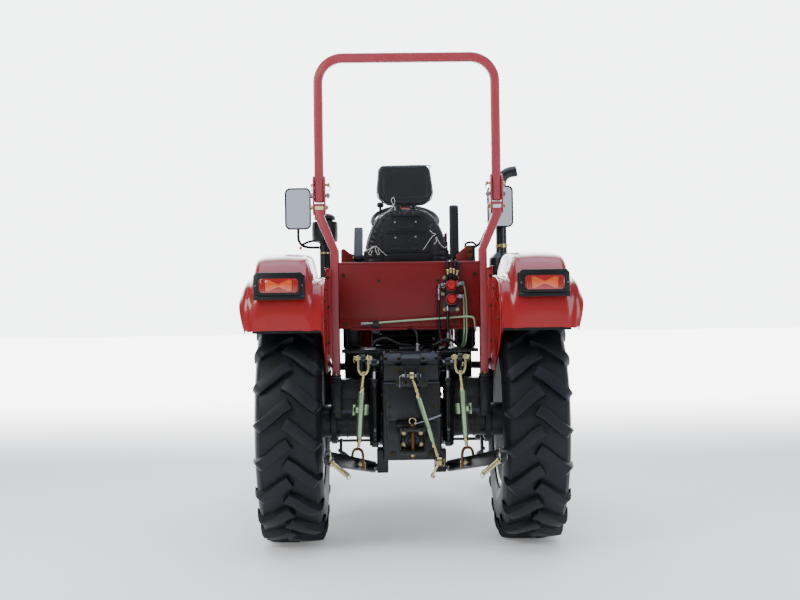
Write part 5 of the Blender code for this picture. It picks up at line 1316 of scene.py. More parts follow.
head_line = [
    (-0.128, 2.04), (0.112, 2.042), (0.13, 2.02), (0.143, 1.935), (0.147, 1.893), (0.136, 1.858),
    (0.104, 1.834), (0.07, 1.827), (-0.07, 1.827),
    (-0.11, 1.836), (-0.152, 1.87), (-0.157, 1.91), (-0.15, 1.985), (-0.146, 2.02),
]
head = lean(prism("Y", [(SX + x, z) for x, z in head_line], 0.034, 0.112, 0.022, 3))


def head_seams(p, n):
    """The sunk panel behind, the welt in front and the piping round the rim."""
    x, z, y = p.x - SX + 0.004, p.z, p.y - SY + BACK_SLOPE * (p.z - BACK_FOOT)
    if n.y < -0.3:
        inside = abs(x) < 0.112 and 1.872 < z < 2.004
        d = max(abs(x) - 0.112, abs(z - 1.938) - 0.066)
        return deepest(groove(d, 0.006, 0.006), (inside, 0.005 if inside else 0.0))
    if n.y > 0.3:
        return groove(max(abs(x) - 0.1, abs(z - 1.935) - 0.062), 0.007, 0.008)
    return groove(y - 0.075, 0.005, 0.004)


upholstery("headrest_cushion", head, VINYL, 0.006, 4.0, head_seams, lambda p, n: False)

low_line = [(0.14, 1.303), (0.5, 1.303), (0.538, 1.325), (0.542, 1.36), (0.525, 1.394), (0.43, 1.394),
    (0.15, 1.378)]
low = prism("X", low_line, SX - 0.228, SX + 0.228, 0.02, 3)


def low_seams(p, n):
    """Two welts fore and aft, three across and the piping round the rim."""
    x, y = p.x - SX, p.y - SY
    if n.z > 0.3:
        return deepest(groove(abs(x) - 0.14, 0.007, 0.01),
            *(groove(y - h, 0.006, 0.008) if abs(x) < 0.135 else (False, 0.0) for h in (0.22, 0.32, 0.42)))
    return groove(p.z - 1.345, 0.005, 0.005)


upholstery("seat_pad_cushion", low, VINYL, 0.0075, 4.0, low_seams, lambda p, n: n.z < -0.5)

# the back's plastic shell and what stands for the whole backrest
hard, trim = [], []
shell_line = [(-0.15, 1.345), (0.15, 1.345), (0.158, 1.45), (0.156, 1.6), (0.128, 1.72), (0.095, 1.772),
    (-0.095, 1.772), (-0.13, 1.72), (-0.158, 1.6), (-0.158, 1.45)]
hard.append(lean(prism("Y", [(SX + x, z) for x, z in shell_line], 0.0235, 0.036, 0.004, 2)))
for w, z in ((0.085, 1.766), (0.112, 1.676), (0.128, 1.57), (0.13, 1.5)):
    hard.append(lean(prism("X", [(0.0155, z - 0.004), (0.0155, z + 0.001), (0.0235, z + 0.006),
        (0.026, z - 0.006)], SX - w, SX + w, 0.0015)))
for x in (-0.135, 0.135):
    hard.append(lean(prism("X", [(0.0185, 1.38), (0.0185, 1.66), (0.026, 1.67), (0.026, 1.37)],
        SX + x - 0.003, SX + x + 0.003, 0.001)))
for x, z, w, h in ((-0.062, 1.592, 0.052, 0.032), (0.046, 1.594, 0.052, 0.032),
    (-0.008, 1.612, 0.034, 0.03), (-0.008, 1.72, 0.1, 0.05), (-0.062, 1.43, 0.06, 0.05),
    (0.046, 1.43, 0.06, 0.05)):
    hard.append(lean(prism("Y", rounded(w, h, 0.005, (SX + x, z)), 0.0195, 0.026, 0.0015)))
hard.append(lean(box((SX - 0.0015, SX + 0.0015), (0.0215, 0.026), (1.345, 1.572), 0.0)))
for x, z in ((-0.06, 1.648), (0.05, 1.652), (-0.062, 1.732), (0.052, 1.732), (-0.11, 1.4), (0.11, 1.4)):
    trim.append(nut((SX + x, 0.0235 - 0.12 * (z - 1.34), z), (0, -1, -0.12), 0.0065, 0.003, False))
neck = [lean(box((SX + x - 0.012, SX + x + 0.012), (0.06, 0.086), (1.79, 1.85), 0.003))
    for x in (-0.04, 0.04)]
piping = []
for pts, y in ((back_line, 0.074), (head_line, 0.073)):
    loop = [(SX + x, y - 0.12 * (z - 1.34), z) for x, z in pts]
    middle_x = sum(p[0] for p in loop) / len(loop)
    middle_z = sum(p[2] for p in loop) / len(loop)
    loop = [(middle_x + (x - middle_x) * 1.006, y2, middle_z + (z - middle_z) * 1.006) for x, y2, z in loop]
    line = curve_points(loop + loop[:1], 5)
    piping.append(tube(line, 0.003, 6))
piece("seat_back_shell", "chassis", [(PLASTIC, hard + neck), (STEEL, trim), (VINYL, piping)],
    ["seat_back", "seat_cushion"])

# armrests
for s, L, lift in ((-1, "L", 38), (1, "R", 86)):
    a = radians(lift)
    pivot = (0.055, 1.54)
    tip = (pivot[0] + 0.27 * cos(a), pivot[1] + 0.27 * sin(a))
    arm = flip(prism("X", capsule(pivot, tip, 0.026, 0.022, 10), 0.2405, 0.292, 0.011, 4), s)
    boss = flip(rod("X", pivot, 0.019, 0.226, 0.245, 26, 0.002), s)
    cap = flip(nut((0.292, *pivot), (1, 0, 0), 0.01, 0.004), s)
    seam = flip(prism("X", capsule(pivot, tip, 0.0262, 0.0222, 10), 0.2655, 0.267, 0.0), s)
    frame_arm = flip(box((0.222, 0.236), (0.035, 0.075), (1.49, 1.58), 0.004), s)
    for bm in (arm, boss, cap, seam, frame_arm):
        moved(bm, Matrix.Translation((SX, 0, 0)))
    pad = piece(f"armrest_pad_{L}", "chassis", [(VINYL, [arm, seam]), (PLASTIC, [boss, frame_arm]),
        (ZINC, [cap])], [f"armrest_{L}"])

# suspension under the seat: slides, scissor, bellows
low_parts, springs = [], []
low_parts.append(box((SX - 0.175, SX + 0.175), (0.095, 0.43), (1.0405, 1.056), 0.003))
low_parts.append(box((SX - 0.19, SX + 0.19), (0.115, 0.51), (1.284, 1.2995), 0.004))
for k in range(7):
    z0 = 1.062 + k * 0.0315
    low_parts.append(box((SX - 0.155 + 0.006 * (k % 2), SX + 0.155 - 0.006 * (k % 2)),
        (0.115 + 0.006 * (k % 2), 0.405 - 0.006 * (k % 2)), (z0, z0 + 0.03), 0.012, 3))
for s in (-1, 1):
    low_parts.append(box(span(s, 0.165, 0.15, SX), (0.1, 0.5), (1.268, 1.285), 0.002))
    springs.append(rod("X", (0.47, 1.255), 0.006, *span(s, 0.14, 0.215, SX), 16, 0.001))
    springs.append(rod("X", (0.47, 1.255), 0.014, *span(s, 0.205, 0.235, SX), 20, 0.004))
piece("seat_suspension", "chassis", [(PLASTIC, low_parts), (STEEL, springs)], ["seat_base"])

# ---- draw-strings of the seat cover ------------------------------------------------------
STRING_THICK = 0.0026


def string(name, points):
    """One loose end of cord along a drawn line: a tube as thick as the cord."""
    line = curve_points(points, 10)
    made = piece(name, "chassis", [(STRING, [tube(line, STRING_THICK / 2, 8)])], (), 60)
    return made


string("string_head", [(-0.078, -0.04, 1.868), (-0.071, -0.046, 1.846), (-0.08, -0.04, 1.818),
    (-0.105, -0.036, 1.794), (-0.132, -0.034, 1.774), (-0.16, -0.03, 1.752)])
string("string_head_loop", [(-0.082, -0.042, 1.866), (-0.09, -0.047, 1.852), (-0.084, -0.05, 1.832),
    (-0.074, -0.05, 1.812), (-0.068, -0.046, 1.796)])
string("string_left_a", [(-0.19, -0.022, 1.603), (-0.207, -0.03, 1.59), (-0.228, -0.026, 1.578),
    (-0.238, -0.02, 1.574), (-0.241, -0.014, 1.605)])
string("string_left_b", [(-0.187, -0.024, 1.601), (-0.206, -0.036, 1.582), (-0.218, -0.036, 1.562),
    (-0.208, -0.034, 1.554), (-0.197, -0.034, 1.578)])
string("string_left_c", [(-0.183, -0.024, 1.6), (-0.178, -0.038, 1.574), (-0.168, -0.036, 1.554),
    (-0.159, -0.032, 1.562), (-0.168, -0.03, 1.584)])
string("string_left_d", [(-0.18, -0.022, 1.603), (-0.165, -0.026, 1.59), (-0.143, -0.026, 1.569),
    (-0.12, -0.02, 1.55)])
string("string_right_a", [(0.118, -0.038, 1.684), (0.134, -0.04, 1.668), (0.149, -0.038, 1.662),
    (0.128, -0.036, 1.646), (0.104, -0.03, 1.612), (0.081, -0.026, 1.579)])
string("string_right_b", [(0.152, -0.036, 1.65), (0.172, -0.034, 1.612), (0.198, -0.026, 1.588),
    (0.216, -0.018, 1.6)])
string("string_right_c", [(0.15, -0.036, 1.644), (0.153, -0.04, 1.622), (0.138, -0.036, 1.608)])

# ---- mirrors -----------------------------------------------------------------------------
for s, L, word in BOTH:
    x = 0.658 if s < 0 else 0.591
    z = 1.891
    shape = rounded(0.162, 0.258, 0.034, (x, z), 7)
    small = rounded(0.146, 0.242, 0.027, (x, z), 7)
    back_shape = rounded(0.12, 0.21, 0.03, (x, z), 7)
    shellb = bmesh.new()
    rows = []
    for pts, y in ((small, 0.8625), (shape, 0.86), (shape, 0.872),
        (rounded(0.154, 0.25, 0.032, (x, z), 7), 0.884), (back_shape, 0.8895)):
        rows.append([shellb.verts.new((px, y + SY, pz)) for px, pz in pts])
    n = len(rows[0])
    shellb.faces.new(rows[0])
    shellb.faces.new(rows[-1])
    for a, b in zip(rows, rows[1:]):
        for i in range(n):
            shellb.faces.new((a[i], a[(i + 1) % n], b[(i + 1) % n], b[i]))
    outward(shellb)
    glass = prism("Y", rounded(0.143, 0.239, 0.026, (x, z), 7), 0.8608, 0.864, 0.0006, 1)
    for v in glass.verts:
        if v.co.y < 0.862 + SY:
            v.co.y += 0.0012 * (1 - ((v.co.x - x) / 0.075) ** 2)
    moved(glass, Matrix.Identity(4))
    boss = lathe([(0.884, 0), (0.884, 0.024), (0.898, 0.02), (0.902, 0.012), (0.902, 0)], (x, 0, 1.8), 28,
        axis="Y")
    if s < 0:
        arm = curve_points([(x, 0.895, 1.8), (x + 0.002, 0.905, 1.76), (x, 0.905, 1.7),
            (x - 0.022, 0.918, 1.668), (x - 0.06, 0.935, 1.657), (0.532, 0.945, 1.655)], 8)
        more = [curve_points([(x - 0.02, 0.916, 1.672), (0.6, 0.93, 1.69), (0.56, 0.94, 1.698),
            (0.532, 0.945, 1.698)], 8)]
    else:
        arm = curve_points([(x, 0.895, 1.8), (x - 0.04, 0.88, 1.775), (x - 0.09, 0.85, 1.74),
            (x - 0.13, 0.85, 1.665), (0.4, 0.87, 1.615), (0.325, 0.9, 1.5), (0.27, 0.92, 1.46),
            (0.207, 0.92, 1.46)], 8)
        more = [curve_points([(x - 0.15, 0.852, 1.648), (0.415, 0.83, 1.668), (0.375, 0.83, 1.662),
            (0.372, 0.85, 1.625), (0.395, 0.868, 1.612)], 8)]
    tubes = [tube(arm, 0.0085, 14)] + [tube(m, 0.0075, 12) for m in more]
    clampm = [between((x, 0.9, 1.775), (x, 0.9, 1.815), 0.0125, 20, 0.002)]
    piece(f"mirror_set_{L}", "chassis", [(PLASTIC, [shellb, boss] + tubes), (MIRROR, [glass]),
        (ZINC, clampm)], [f"mirror_{L}"], 32, s)

# ---- air intake stack and exhaust --------------------------------------------------------
ix, iy = -0.497, 0.945
stack = lathe([(0.8196, 0), (0.8196, 0.034), (1.676, 0.034), (1.684, 0.04), (1.69, 0.076), (1.7, 0.08),
    (1.806, 0.08), (1.814, 0.076), (1.818, 0.052), (1.826, 0.05), (1.826, 0.0)], (ix, iy, 0), 40, axis="Z")
cap = lathe([(1.824, 0.046), (1.826, 0.066), (1.832, 0.0685), (1.848, 0.064), (1.86, 0.05), (1.866, 0.028),
    (1.868, 0.0)], (ix, iy, 0), 40, False, "Z")
slots = []
for i in range(14):
    a = tau * i / 14
    slots.append(moved(box((-0.0035, 0.0035), (0.0755 - SY, 0.0815 - SY), (1.715, 1.79), 0.001, 1),
        Matrix.Translation((ix, iy + SY, 0)) @ Matrix.Rotation(a, 4, "Z")))
bands = [lathe([(z - 0.006, 0.034), (z - 0.005, 0.0365), (z + 0.005, 0.0365), (z + 0.006, 0.034)],
    (ix, iy, 0), 32, True, "Z") for z in (1.18, 1.42, 1.62)]
duct = tube(curve_points([(ix + 0.02, iy, 0.91), (-0.43, 0.99, 0.91), (-0.36, 1.04, 0.91),
    (-0.26, 1.105, 0.91), (-0.1705, 1.11, 0.91)], 8), 0.024, 20)
hang_l = [box((ix - 0.045, ix + 0.045), (iy - 0.05, iy - 0.034), (1.26, 1.3), 0.003),
    tube([(ix, iy - 0.03, 1.28), (-0.32, 0.93, 1.28), (-0.207, 0.93, 1.28)], 0.008, 12)]
orange = [box((-0.655, -0.637), (0.88, 0.896), (1.64, 1.66), 0.003)]
piece("intake_stack", "chassis", [(PLASTIC, [stack, cap, duct] + slots + hang_l), (ZINC, bands),
    (AMBER, orange)], ["air_intake"])

ex, ey = 0.603, 0.945
pipe = lathe([(0.8196, 0), (0.8196, 0.045), (0.945, 0.045), (0.955, 0.078), (0.965, 0.08), (1.56, 0.08),
    (1.575, 0.078), (1.612, 0.037), (1.62, 0.035), (1.66, 0.034), (1.66, 0)], (ex, ey, 0), 44, axis="Z")
tip = tube(curve_points([(ex, ey, 1.62), (ex, ey, 1.85), (ex, ey, 2.02), (ex + 0.006, ey, 2.06),
    (ex + 0.024, ey, 2.092), (ex + 0.055, ey, 2.11), (ex + 0.1, ey, 2.118)], 8), 0.034, 28)
mouth = tube([(ex + 0.094, ey, 2.1165), (ex + 0.1005, ey, 2.118)], 0.031, 24)
seams = [lathe([(z - 0.004, 0.08), (z - 0.003, 0.0825), (z + 0.003, 0.0825), (z + 0.004, 0.08)],
    (ex, ey, 0), 40, True, "Z") for z in (1.0, 1.26, 1.52)]
guard = []
for i in range(16):
    a = tau * i / 16
    guard.append(moved(box((-0.003, 0.003), (0.0835 - SY, 0.0865 - SY), (1.03, 1.49), 0.001, 1),
        Matrix.Translation((ex, ey + SY, 0)) @ Matrix.Rotation(a, 4, "Z")))
guard += [lathe([(z - 0.008, 0.0835), (z - 0.008, 0.087), (z + 0.008, 0.087), (z + 0.008, 0.0835)],
    (ex, ey, 0), 40, True, "Z") for z in (1.03, 1.26, 1.49)]
band = [lathe([(1.64, 0.034), (1.64, 0.038), (1.662, 0.038), (1.662, 0.034)], (ex, ey, 0), 32, True, "Z"),
    nut((ex, ey - 0.038, 1.651), (0, -1, 0), 0.008, 0.014)]
turn_pipe = tube(curve_points([(ex - 0.03, ey, 0.91), (0.5, 0.99, 0.91), (0.42, 1.04, 0.91),
    (0.3, 1.12, 0.91), (0.1705, 1.13, 0.91)], 8), 0.024, 20)
piece("exhaust_stack", "chassis", [(BLACK, [pipe, tip, turn_pipe] + seams), (PLASTIC, [mouth]),
    (CASE, guard), (ZINC, band)], ["exhaust"])

# ---- dash, column, levers ----------------------------------------------------------------
HY, HZ = 1.01, 1.585
dash = prism("X", [(0.98, 0.825), (0.98, HZ + 0.01), (0.94, HZ + 0.02), (0.82, HZ - 0.02), (0.8, HZ - 0.09),
    (0.87, HZ - 0.22), (0.87, 0.825)], -0.205, 0.205, 0.022, 4)
face_up = Matrix.Translation((0, 0.868 + SY, HZ + 0.004)) @ Matrix.Rotation(radians(18.4), 4, "X")
gauges, rims, keys = [], [], []
for x, r in ((-0.105, 0.036), (0.0, 0.05), (0.105, 0.036)):
    dial = lathe([(0.0, 0.0), (0.0, r), (0.006, r), (0.006, 0.0)], (x, -SY, 0), 36, axis="Z")
    gauges.append(moved(dial, face_up))
    rims.append(moved(lathe([(0.0, r), (0.0, r + 0.006), (0.01, r + 0.006), (0.012, r + 0.002),
        (0.008, r - 0.002)], (x, -SY, 0), 36, True, "Z"), face_up))
    for t in range(9):
        a = radians(210 - 30 * t)
        keys.append(moved(moved(box((r * 0.72, r * 0.88), (-0.0012 - SY, 0.0012 - SY), (0.0055, 0.0068),
            0.0), Matrix.Rotation(a, 4, "Z")), face_up @ Matrix.Translation((x, 0, 0))))
    keys.append(moved(moved(box((0, r * 0.7), (-0.0013 - SY, 0.0013 - SY), (0.006, 0.0072), 0.0),
        Matrix.Rotation(radians(130), 4, "Z")), face_up @ Matrix.Translation((x, 0, 0))))
for i, x in enumerate((-0.165, -0.145, 0.15, 0.17)):
    rims.append(moved(box((x - 0.008, x + 0.008), (-0.014 - SY, 0.014 - SY), (0.0, 0.01), 0.003), face_up))
levers, knobs = [], []
C = Vector((0.0, 0.75, 1.8))
AX = Vector((0.0, -sin(radians(30)), cos(radians(30))))
column = [tube([C - AX * 0.3, C - AX * 0.02], 0.03, 30),
    between(C - AX * 0.2, C - AX * 0.1, 0.038, 30, 0.004),
    tube([C - AX * 0.315, C - AX * 0.26], [0.055, 0.034], 30)]
for s in (-1, 1):
    root = C - AX * 0.1
    levers.append(tube(curve_points([tuple(root), tuple(root + Vector((s * 0.07, -0.01, 0.01))),
        tuple(root + Vector((s * 0.15, -0.02, 0.03)))], 6), 0.005, 12))
    knobs.append(between(root + Vector((s * 0.145, -0.019, 0.028)),
        root + Vector((s * 0.185, -0.022, 0.04)), 0.01, 20, 0.004))
ears = [prism("X", capsule((HY - 0.014, HZ - 0.05), (HY, HZ), 0.016, 0.0115), *span(s, 0.0405, 0.056),
    0.001) for s in (-1, 1)]
ears.append(box((-0.055, 0.055), (0.965, 1.0), (HZ - 0.075, HZ - 0.045), 0.003))
# red cowl sheets that flank the dash
cowl = []
for s in (-1, 1):
    cowl.append(prism("X", [(0.86, 0.83), (0.975, 0.83), (0.975, 1.55), (0.93, 1.562), (0.84, 1.53),
        (0.815, 1.47), (0.872, 1.36)], *span(s, 0.2065, 0.214), 0.003))
    cowl.append(prism("Y", [(s * 0.207, 1.545), (s * 0.245, 1.535), (s * 0.282, 1.49), (s * 0.294, 1.43),
        (s * 0.294, 1.1), (s * 0.282, 1.1), (s * 0.282, 1.42), (s * 0.268, 1.48), (s * 0.236, 1.522),
        (s * 0.207, 1.53)], 0.955, 0.978, 0.003))
piece(
    "dash_console", "chassis",
    [(PLASTIC, [dash] + rims + knobs), (BLACK, column + levers + ears), (CASE, gauges), (STRING, keys),
    (RED_STEEL, cowl)],
    ["dash"],
)

flat = Matrix.Translation((C.x, C.y + SY, C.z)) @ Matrix.Rotation(radians(30), 4, "X")
grip = moved(lathe([(0.0135 * sin(a * tau / 16), 0.197 + 0.0135 * cos(a * tau / 16)) for a in range(16)],
    (0, -SY, 0), 72, True, "Z"), flat)
nubs = [moved(lathe([(-0.0045, 0.1835), (0.0, 0.1812), (0.0045, 0.1835), (0.003, 0.186)], (0, -SY, 0), 72,
    True, "Z"), flat)]
hub = moved(lathe([(-0.012, 0), (-0.012, 0.032), (-0.004, 0.042), (0.006, 0.042), (0.014, 0.036),
    (0.018, 0.02), (0.018, 0)], (0, -SY, 0), 44, axis="Z"), flat)
spokes = []
for a in (0, 120, 240):
    spokes.append(moved(moved(prism("Z", [(-0.016, 0.03), (0.016, 0.03), (0.01, 0.19), (-0.01, 0.19)],
        -0.004, 0.004, 0.0025), Matrix.Translation((0, -SY, 0))),
        flat @ Matrix.Rotation(radians(a), 4, "Z")))
knob_at = flat @ Vector((-0.15, 0.125, 0.03))
knob = [between((knob_at.x, knob_at.y - SY, knob_at.z - 0.02),
    (knob_at.x, knob_at.y - SY, knob_at.z + 0.012), 0.008, 16),
    lathe([(0.0, 0.0), (0.004, 0.018), (0.018, 0.023), (0.032, 0.018), (0.038, 0.0)],
    (knob_at.x, knob_at.y - SY, knob_at.z), 24, axis="Z")]
red_badge = [moved(prism("Z", [(-0.026, 0.148), (0.026, 0.148), (0.03, 0.178), (-0.03, 0.178)],
    0.0035, 0.006, 0.001), flat @ Matrix.Translation((0, -SY, 0)))]
piece("steering_hand_wheel", "hand_wheel", [(PLASTIC, [grip, hub] + nubs + spokes + knob[:1]),
    (CAP_RED, red_badge), (PLASTIC, knob[1:])], ["steering_wheel"])

# levers, seat-side consoles and pedals
bits, grips, reds, plates = [], [], [], []
for s in (-1, 1):
    x = 0.335
    body = prism("X", [(0.05, 1.0405), (0.56, 1.0405), (0.56, 1.2), (0.5, 1.3), (0.1, 1.34), (0.05, 1.3)],
        *span(s, 0.275, 0.366), 0.014, 3)
    bits.append(body)
    for i, y in enumerate((0.18, 0.28, 0.38, 0.47)):
        h = 1.315 + 0.11 * (1 - 0.12 * i)
        bits.append(between((s * x, y, 1.28), (s * (x + 0.004), y - 0.02, h), 0.0055, 12))
        grips.append(lathe([(0.0, 0.0), (0.003, 0.01), (0.02, 0.016), (0.036, 0.013), (0.044, 0.0)],
            (s * (x + 0.004), y - 0.02, h), 20, axis="Z"))
        plates.append(box(span(s, (x - 0.008), (x + 0.008)), (y - 0.045, y + 0.03),
            (1.296 if i > 1 else 1.314, 1.305 if i > 1 else 1.326), 0.002))
# upright plate with two bolts, on the right of the seat, and a red bracket beyond it
plates.append(box((0.325, 0.366), (-0.02, -0.012), (1.4, 1.6), 0.002))
reds.append(prism("Y", [(0.262, 1.47), (0.345, 1.47), (0.345, 1.598), (0.33, 1.606), (0.288, 1.575),
    (0.262, 1.548)], 0.01, 0.018, 0.003))
reds.append(prism("Y", [(-0.226, 1.47), (-0.372, 1.47), (-0.372, 1.585), (-0.366, 1.594), (-0.352, 1.594),
    (-0.325, 1.572), (-0.27, 1.548), (-0.24, 1.525), (-0.226, 1.495)], 0.06, 0.068, 0.003))
reds.append(box((0.205, 0.222), (0.14, 0.15), (1.62, 1.68), 0.003))
bolts2 = [nut((0.337, -0.02, z), (0, -1, 0), 0.0125, 0.008)
    for z in (1.545, 1.582)] + [nut((-0.3, 0.06, 1.535), (0, -1, 0), 0.01, 0.007)]
posts = [box((0.34, 0.366), (-0.012, 0.02), (1.34, 1.41), 0.002),
    box((-0.366, -0.34), (0.06, 0.09), (1.3, 1.48), 0.002),
    box((0.205, 0.225), (0.14, 0.16), (1.3, 1.63), 0.002),
    box((0.29, 0.345), (0.01, 0.03), (1.33, 1.48), 0.002)]
for s in (-1, 1):
    for j, x in enumerate((0.1, 0.17) if s > 0 else (0.12,)):
        pad = box(span(s, x, (x + 0.055)), (0.7, 0.715), (0.92, 1.0), 0.004)
        ribsp = [box(span(s, (x + 0.004), (x + 0.051)), (0.695, 0.701),
            (0.928 + 0.014 * k, 0.934 + 0.014 * k), 0.001, 1) for k in range(5)]
        bits += [pad, between((s * (x + 0.027), 0.712, 0.955), (s * (x + 0.027), 0.88, 1.06), 0.007,
            12)] + ribsp
piece("operator_controls", "chassis", [(PLASTIC, bits + posts), (RED_STEEL, reds), (BLACK, plates),
    (CAP_RED, grips), (BRONZE, bolts2)], ())

# ---- hood, lamps, grille -----------------------------------------------------------------
side_z = [(1.0, 1.6), (1.55, 1.585), (2.2, 1.52), (2.38, 1.478), (2.46, 1.43), (2.52, 1.34), (2.55, 1.25),
    (2.55, 0.9)]


def top_z(y):
    """Height of the hood's crown at a place along it."""
    pts = curve_side
    for (a, za), (b, zb) in zip(pts, pts[1:]):
        if a <= y <= b:
            return za + (zb - za) * (y - a) / max(b - a, 1e-9)
    return pts[-1][1]


curve_side = [(p.x, p.y) for p in curve_points([Vector((*q, 0)) for q in side_z[:7]], 6)]
hood_rows = []
for y in (1.0, 1.03, 1.1, 1.25, 1.4, 1.55, 1.7, 1.85, 2.0, 2.1, 2.2, 2.28, 2.34, 2.39, 2.43, 2.46, 2.49,
    2.51, 2.53, 2.543, 2.55):
    z = top_z(y)
    drop = 1.6 - z
    w = 0.3 - 0.02 * max(0.0, (y - 2.3) / 0.25) ** 2
    low_z = 0.98 if y < 2.22 else 0.98 - 0.08 * min(1.0, (y - 2.22) / 0.13)
    sec = [
        (-w, y, low_z), (-w, y, 1.1), (-w, y, min(1.28, z - 0.1)), (-w, y, z - 0.15),
        (-w + 0.05, y, z - 0.04), (-0.11, y, z + 0.002), (-0.1, y, z + 0.006),
        (0.1, y, z + 0.006), (0.11, y, z + 0.002), (w - 0.05, y, z - 0.04), (w, y, z - 0.15),
        (w, y, min(1.28, z - 0.1)), (w, y, 1.1), (w, y, low_z),
    ]
    hood_rows.append(rounded_section(sec, 0.022, 3))
hood = shell(hood_rows, 0.004, (1.8, 1.2))
nose_frame = []
gx, gz0, gz1 = 0.222, 0.948, 1.227
for x0, x1, z0, z1 in ((-0.29, -gx, 0.905, 1.25), (gx, 0.29, 0.905, 1.25), (-gx, gx, 0.905, gz0),
    (-gx, gx, gz1, 1.262)):
    nose_frame.append(box((x0, x1), (2.536, 2.5505), (z0, z1), 0.004))
vents, blackp, lamps_c, lamp_b = [], [], [], []
for s in (-1, 1):
    vents.append(flip(prism("X", [(1.72, 1.12), (2.2, 1.1), (2.26, 1.3), (2.2, 1.38), (1.72, 1.42)], 0.2995,
        0.302, 0.001), s))
    for i in range(11):
        z = 1.135 + 0.0245 * i
        y1 = 2.19 if i < 8 else 2.16 - 0.02 * (i - 8)
        vents.append(flip(prism("X", [(1.745, z), (y1, z - 0.004), (y1, z + 0.006), (1.745, z + 0.01)],
            0.3015, 0.3075, 0.0015), s))
    blackp.append(flip(box((0.3, 0.3045), (1.02, 2.18), (0.982, 1.035), 0.002), s))
    for y in (1.06, 1.42, 1.66, 2.12):
        lamp_b.append(flip(nut((0.3045, y, 1.008), (1, 0, 0), 0.009, 0.005), s))
    # headlamp: dark bezel, clear lens, reflector bowl
    a = [(0.06, 1.262), (0.235, 1.262), (0.262, 1.3), (0.24, 1.352), (0.08, 1.372), (0.055, 1.335)]
    blackp.append(flip(prism("Y", a, 2.5, 2.556, 0.006), s))
    b = [(0.075, 1.274), (0.228, 1.274), (0.248, 1.302), (0.23, 1.342), (0.09, 1.359), (0.071, 1.332)]
    lamps_c.append(flip(prism("Y", b, 2.548, 2.56, 0.004), s))
    for cx, cz, r in ((0.115, 1.315, 0.03), (0.19, 1.308, 0.026)):
        lamp_b.append(flip(lathe([(2.5595, 0.0), (2.5595, r * 0.35), (2.5612, r), (2.5625, r),
            (2.5605, r * 0.3), (2.5605, 0.0)], (cx, 0, cz), 30, axis="Y"), s))
    handle = tube(bends([(0.3005, 1.1, 1.22), (0.325, 1.1, 1.22), (0.325, 1.2, 1.22), (0.3005, 1.2, 1.22)],
        0.012), 0.006, 12)
    blackp.append(flip(handle, s))
lug = box((-0.0395, 0.0395), (1.002, 1.032), (1.545, 1.5955), 0.002)
trim_t = [prism("X", [(2.536, 1.236), (2.556, 1.232), (2.562, 1.246), (2.556, 1.258), (2.536, 1.262)],
    -0.225, 0.225, 0.003)]
piece("hood_shell", "hood_cover", [(RED, [hood] + nose_frame), (PLASTIC, vents + blackp + trim_t),
    (CLEAR, lamps_c), (CHROME, lamp_b), (BLACK, [lug])], ["hood"], 35)

mesh_bars = [box((-0.2195, 0.2195), (2.529, 2.534), (0.9505, 1.2245), 0.0)]
for i in range(30):
    x = -0.2145 + 0.0148 * i
    mesh_bars.append(box((x - 0.0016, x + 0.0016), (2.534, 2.542), (0.952, 1.223), 0.0))
for i in range(12):
    z = 0.963 + 0.0228 * i
    mesh_bars.append(prism("X", [(2.534, z), (2.5535, z + 0.002), (2.5545, z + 0.007), (2.536, z + 0.01)],
        -0.2185, 0.2185, 0.0012))
mesh_bars += [box(span(s, 0.212, 0.2195), (2.534, 2.555), (0.9505, 1.2245), 0.002) for s in (-1, 1)]
mesh_bars += [box((-0.2195, 0.2195), (2.534, 2.555), z, 0.002) for z in ((0.9505, 0.957), (1.218, 1.2245))]
piece("grille_mesh", "hood_cover", [(GRILLE, mesh_bars)], ["grille"])

# ---- engine, radiator, front support, axle -----------------------------------------------
blk, alu, rub, znc, reds = [], [], [], [], []
E0, E1 = 1.0603, 1.8003
blk.append(box((-0.15, 0.15), (E0 + 0.02, E1 - 0.02), (0.62, 0.98), 0.012))
blk.append(box((-0.168, 0.168), (E0, E0 + 0.055), (0.515, 1.02), 0.016))
blk.append(prism("Y", [(-0.12, 0.512), (0.12, 0.512), (0.152, 0.6), (0.152, 0.63), (-0.152, 0.63),
    (-0.152, 0.6)], E0 + 0.07, E1 - 0.05, 0.01))
blk.append(box((-0.128, 0.128), (E0 + 0.06, E1 - 0.06), (0.97, 1.12), 0.01))
blk.append(prism("Y", [(-0.085, 1.11), (0.085, 1.11), (0.085, 1.2), (0.06, 1.245), (-0.06, 1.245),
    (-0.085, 1.2)], E0 + 0.08, E1 - 0.08, 0.01))
blk.append(box((-0.16, 0.16), (E1 - 0.045, E1), (0.56, 1.08), 0.014))
for i in range(4):
    y = E0 + 0.145 + 0.15 * i
    blk.append(lathe([(0.128, 0.03), (0.152, 0.028), (0.158, 0.022), (0.158, 0.0), (0.12, 0.0)],
        (0, y, 1.05), 24))
    znc += [nut((0.13, y + d, 1.05 + e), (1, 0, 0), 0.009, 0.007)
        for d, e in ((-0.04, 0.03), (0.04, -0.03))]
    znc.append(nut((0.0, y, 1.245), (0, 0, 1), 0.012, 0.01))
    blk += [box((-0.154, -0.148), (y - 0.05, y + 0.05), (0.7, 0.78), 0.003),
        box((0.148, 0.154), (y - 0.05, y + 0.05), (0.7, 0.78), 0.003)]
for s in (-1, 1):
    for i in range(9):
        znc.append(nut((s * 0.152, E0 + 0.1 + 0.068 * i, 0.622), (s, 0, 0), 0.008, 0.006, False))
alu.append(tube(curve_points([(-0.13, E0 + 0.12, 1.06), (-0.165, E0 + 0.16, 1.06), (-0.165, E0 + 0.4, 1.06),
    (-0.165, E1 - 0.16, 1.06)], 8), 0.024, 18))
alu += [between((-0.12, E0 + 0.145 + 0.15 * i, 1.05), (-0.165, E0 + 0.145 + 0.15 * i, 1.06), 0.02, 16)
    for i in range(4)]
